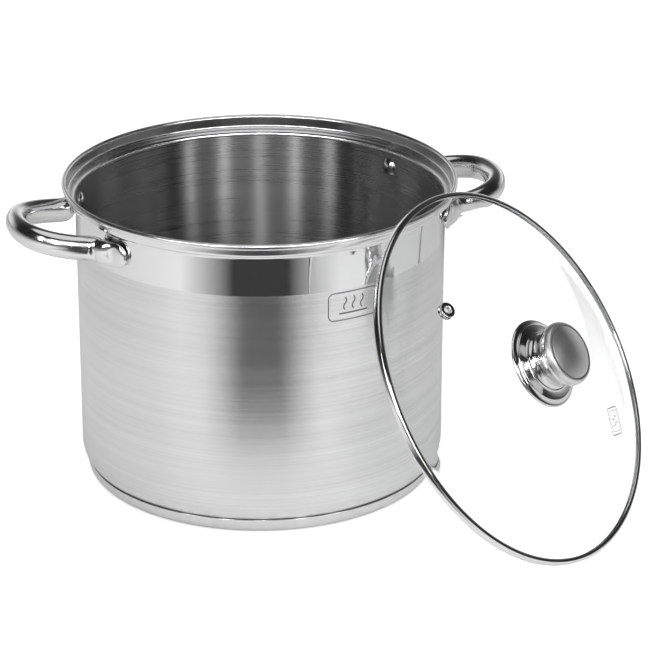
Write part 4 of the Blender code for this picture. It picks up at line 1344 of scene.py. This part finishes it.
def on_glass(x, y, lift):
    """A place on the dome, for a mark that is turned to face the knob."""
    turn = math.radians(-8)
    flat_x = GLASS_MARK[0] + x * math.cos(turn) - y * math.sin(turn)
    flat_y = GLASS_MARK[1] + x * math.sin(turn) + y * math.cos(turn)
    height, _ = glass_top(math.hypot(flat_x, flat_y))
    return LID_PLACE @ Vector((flat_x, flat_y, height + 0.00002 + lift))


def make_marks():
    bm = bmesh.new()
    stroke_strip(bm, divided(rounded_frame(0.0190, 0.0100, 0.0040)), 0.0007, on_wall, True)
    stroke_strip(bm, [(-0.0110 + 0.0010 * i, -0.0052) for i in range(23)], 0.0010, on_wall)
    for x in (-0.0066, 0.0, 0.0066):
        stroke_strip(bm, wave(x, 0.0018, 0.0046, 0.0011), 0.0009, on_wall)
    settle(as_object("wall_mark", bm, [ETCHED]), "pot", "steel_satin")
    bm = bmesh.new()
    stroke_strip(bm, divided(rounded_frame(0.0090, 0.0095, 0.0028)), 0.0008, on_glass, True)
    stroke_strip(bm, divided(rounded_frame(0.0068, 0.0073, 0.0018)), 0.0004, on_glass, True)
    for y in (-0.0022, 0.0022):
        stroke_strip(bm, wave(0.0, y, 0.0042, 0.0013, False), 0.0007, on_glass)
    settle(as_object("glass_mark", bm, [FROSTED]), "lid", "clear_glass")


make_marks()

# %% [markdown]
# ## The studio
#
# Polished steel shows nothing but its surroundings, so the studio is designed like a set of mirrors.  The pot
# stands on a pale floor in a white room.  The camera and the clear pane see plain white, while reflections see
# soft greys with a dark ceiling.  Dark cards, which only reflections can see, draw the dark shapes that make
# steel look like steel: a white ring on the floor for the mirror band, with a dark gap in front and one behind,
# and a card in front whose dark gap runs out from the pot and draws the tall streak on the satin wall.  The gaps
# have soft edges and are the same on both sides.

# %% Build the floor and the cards
FLOOR_TINT = 0.80
FLOOR_GLOW = 0.60


def flat_sheet(name, points, quads, material):
    mesh = bpy.data.meshes.new(name)
    mesh.from_pydata(points, [], quads)
    mesh.materials.append(material)
    card = bpy.data.objects.new(name, mesh)
    bpy.context.scene.collection.objects.link(card)
    return card


def seen_directly(tree):
    """1 for rays from the camera, also through the glass, and 0 once a ray has bounced off something."""
    path = add(tree, "ShaderNodeLightPath")
    bounces = maths(tree, "ADD", path.outputs["Glossy Depth"], path.outputs["Diffuse Depth"])
    straight = maths(tree, "SUBTRACT", 1.0, bounces, clamp=True)
    through = maths(tree, "MULTIPLY", path.outputs["Is Transmission Ray"], straight)
    return maths(tree, "MAXIMUM", path.outputs["Is Camera Ray"], through)


def floor_material():
    """Pale paper that glows a little when seen directly, as it does when it is lit from below."""
    material, tree, shader, where = start_material("studio_floor", Metallic=0.0)
    shader.inputs["Base Color"].default_value = grey(FLOOR_TINT)
    grain = add(tree, "ShaderNodeTexNoise", {"Vector": where, "Scale": 40.0, "Detail": 3.0})
    feed(tree, shader, Roughness=spread(tree, grain.outputs["Fac"], 0.3, 0.7, 0.62, 0.72))
    strength = maths(tree, "MULTIPLY", seen_directly(tree), FLOOR_GLOW)
    glow = add(tree, "ShaderNodeEmission", {"Strength": strength})
    both = add(tree, "ShaderNodeAddShader", {0: shader.outputs[0], 1: glow.outputs[0]})
    tree.links.new(both.outputs[0], tree.nodes["Material Output"].inputs["Surface"])
    return material


def grey_ramp(tree, value, stops):
    """A grey that changes with a value between 0 and 1: stops are (value, grey) pairs."""
    ramp = add(tree, "ShaderNodeValToRGB", {"Fac": value})
    marks = ramp.color_ramp.elements
    marks[0].position, marks[0].color = stops[0][0], grey(stops[0][1])
    marks[1].position, marks[1].color = stops[-1][0], grey(stops[-1][1])
    for position, tone in stops[1:-1]:
        marks.new(position).color = grey(tone)
    return ramp.outputs["Color"]


VIEW_AZ = math.radians(-16.8)
FACING = math.atan2(-math.cos(VIEW_AZ), math.sin(VIEW_AZ))


def card_material(name, tones):
    """Matt card whose grey follows the angle round the pot; tones are (degrees, grey) pairs from -180 to 180."""
    material, tree, shader, where = start_material(name, Metallic=0.0, Roughness=1.0, Specular_IOR_Level=0.0)
    ahead = add(tree, "ShaderNodeMapping", {"Vector": where, "Rotation": (0.0, 0.0, -FACING)})
    parts = add(tree, "ShaderNodeSeparateXYZ", {0: ahead.outputs[0]})
    angle = maths(tree, "ARCTAN2", parts.outputs[1], parts.outputs[0])
    stops = [((degrees + 180) / 360, tone) for degrees, tone in tones]
    colour = grey_ramp(tree, spread(tree, angle, -math.pi, math.pi), stops)
    feed(tree, shader, Base_Color=colour)
    unseen = add(tree, "ShaderNodeBsdfTransparent")
    mixed = add(tree, "ShaderNodeMixShader", {0: seen_directly(tree), 1: shader.outputs[0], 2: unseen.outputs[0]})
    tree.links.new(mixed.outputs[0], tree.nodes["Material Output"].inputs["Surface"])
    return material


def only_reflected(card):
    card.visible_camera = False
    card.visible_diffuse = False
    card.visible_shadow = False


def floor_card(name, start, end, near, far, material, height=0.002):
    """A sector of a ring on the floor; angles in degrees from the camera's direction, anticlockwise."""
    steps = max(4, int(abs(end - start) / 3))
    angles = [FACING + math.radians(start + (end - start) * i / steps) for i in range(steps + 1)]
    points = [(r * math.cos(a), r * math.sin(a), height) for a in angles for r in (near, far)]
    quads = [(2 * i, 2 * i + 1, 2 * i + 3, 2 * i + 2) for i in range(steps)]
    only_reflected(flat_sheet(name, points, quads, material))


def standing_card(name, start, end, reach, low, high, material):
    """A flat card that stands across one direction, between two angles."""
    ends = [FACING + math.radians(a) for a in (start, end)]
    foot = [(reach * math.cos(a), reach * math.sin(a)) for a in ends]
    corners = [(*foot[0], low), (*foot[1], low), (*foot[1], high), (*foot[0], high)]
    only_reflected(flat_sheet(name, corners, [(0, 1, 2, 3)], material))


def dark_gap(half, soft, behind=False):
    """Tones of a white ring with a soft-edged dark gap in front, and a second one behind if that is asked for."""
    back = DARK_CARD if behind else WHITE_CARD
    front = [(-half - soft, WHITE_CARD), (-half, DARK_CARD), (half, DARK_CARD), (half + soft, WHITE_CARD)]
    ends = [(180 - half - soft, WHITE_CARD), (180 - half, back), (180, back)]
    return [(-degrees, tone) for degrees, tone in reversed(ends)] + front + ends


WHITE_CARD = 0.80
DARK_CARD = 0.04
RING_CARD = card_material("ring_card", dark_gap(15, 30, behind=True))
STREAK_CARD = card_material("streak_card", dark_gap(10, 20))
BLACK_CARD = card_material("black_card", ((-180, DARK_CARD), (180, DARK_CARD)))

flat_sheet("studio_floor", [(-4, -4, -0.0003), (4, -4, -0.0003), (4, 4, -0.0003), (-4, 4, -0.0003)],
           [(0, 1, 2, 3)], floor_material())
CARD_REACH = 1.30          # how far the front cards run out from the pot's axis
CARD_HEIGHT = 0.60
floor_card("ring_card", -180, 180, 0.48, 0.70, RING_CARD)
floor_card("streak_card", -30, 30, 0.29, CARD_REACH, STREAK_CARD, 0.001)
standing_card("camera_gap_card", -10, 10, CARD_REACH, 0.0, CARD_HEIGHT, BLACK_CARD)
print("floor and cards are in place")

# %% [markdown]
# ## Light and camera
#
# The room has a white wall behind the pot, a dark side in front and a pale patch of ceiling.  A large sheet
# overhead lights the floor.  A front sheet draws the bright line on the handles and the lip, and five equal
# strips before it make the upright streaks inside the pot.  The camera looks down at about 22 degrees with a
# long lens, so the pot's sides stay nearly parallel.

# %% Light the room
CEILING = ((0.86, 0.02), (0.90, 0.80), (1.0, 0.80))       # dark, with a pale patch right overhead
BACK_WALL = ((0.0, 0.90), (0.22, 0.80), (0.42, 0.10))
DARK_SIDE = ((0.0, 0.28), (0.06, 0.08), (0.20, 0.02))
SEEN_WHITE = 1.15          # brightness of the white that the camera sees


def make_world():
    """Plain white seen directly; in reflections a white wall behind the pot and a dark room before it."""
    world = bpy.data.worlds.new("studio_room")
    bpy.context.scene.world = world
    world.use_nodes = True
    tree = world.node_tree
    tree.nodes.clear()
    direction = add(tree, "ShaderNodeTexCoord").outputs["Generated"]
    height = add(tree, "ShaderNodeSeparateXYZ", {0: direction}).outputs[2]
    towards_back = (-math.sin(VIEW_AZ), math.cos(VIEW_AZ), 0.0)
    depth = add(tree, "ShaderNodeVectorMath", {0: direction, 1: towards_back}, operation="DOT_PRODUCT")
    behind = spread(tree, depth.outputs["Value"], 0.35, 0.75)
    back = grey_ramp(tree, height, BACK_WALL + CEILING)
    front = grey_ramp(tree, height, DARK_SIDE + CEILING)
    around = blend_colours(tree, behind, front, back)
    room = add(tree, "ShaderNodeBackground", {"Color": around, "Strength": 1.0})
    white = add(tree, "ShaderNodeBackground", {"Color": grey(1.0), "Strength": SEEN_WHITE})
    mixed = add(tree, "ShaderNodeMixShader", {0: seen_directly(tree), 1: room.outputs[0], 2: white.outputs[0]})
    add(tree, "ShaderNodeOutputWorld", {"Surface": mixed.outputs[0]})


def soft_lamp(name, azimuth, elevation, distance, width, height, brightness):
    """A rectangular lamp aimed at the pot's middle; the azimuth is measured from the camera's direction."""
    facing = FACING + math.radians(azimuth)
    rise = math.radians(elevation)
    middle = Vector((0, 0, RIM_Z / 2))
    way = Vector((math.cos(facing) * math.cos(rise), math.sin(facing) * math.cos(rise), math.sin(rise)))
    data = bpy.data.lights.new(name, "AREA")
    data.shape = "RECTANGLE"
    data.size = width
    data.size_y = height
    data.energy = brightness * math.pi * width * height
    lamp = bpy.data.objects.new(name, data)
    bpy.context.scene.collection.objects.link(lamp)
    lamp.location = middle + way * distance
    lamp.rotation_euler = (-way).to_track_quat("-Z", "Y").to_euler()
    return lamp


make_world()
overhead = soft_lamp("overhead_sheet", 0, 90, 1.9, 2.6, 2.6, 1.3)
overhead.visible_glossy = False
soft_lamp("front_sheet", 0, 30, 1.75, 2.6, 0.9, 1.0)
STRIP_COUNT = 5
STRIP_STEP = 24            # degrees from one strip to the next
STRIP_ELEVATION = 27
STRIP_DISTANCE = 1.6
STRIP_W = 0.16
STRIP_H = 0.70
STRIP_BRIGHTNESS = 8
for number in range(STRIP_COUNT):
    azimuth = (number - (STRIP_COUNT - 1) / 2) * STRIP_STEP
    soft_lamp(f"strip_{number}", azimuth, STRIP_ELEVATION, STRIP_DISTANCE, STRIP_W, STRIP_H, STRIP_BRIGHTNESS)

# %% Set the camera
CAMERA_PLACE = Vector((-0.5860, -1.9409, 0.9334))
CAMERA_AIM = Vector((0.0441, -0.0133, 0.1051))
camera_data = bpy.data.cameras.new("camera")
camera_data.lens = 168.4
camera_data.sensor_width = 36
camera = bpy.data.objects.new("camera", camera_data)
bpy.context.scene.collection.objects.link(camera)
camera.location = CAMERA_PLACE
camera.rotation_euler = (CAMERA_AIM - CAMERA_PLACE).to_track_quat("-Z", "Y").to_euler()
bpy.context.scene.camera = camera
bpy.context.scene.view_settings.view_transform = "Standard"
print("camera distance, metres:", round((CAMERA_AIM - CAMERA_PLACE).length, 3))

# %% [markdown]
# ## Bring the scene up to date
#
# The finished pot has to be as big as its frame; its outermost sizes come from the frame, and this last step only
# brings the view layer up to date.

# %% Bring the view layer up to date
bpy.context.view_layer.update()
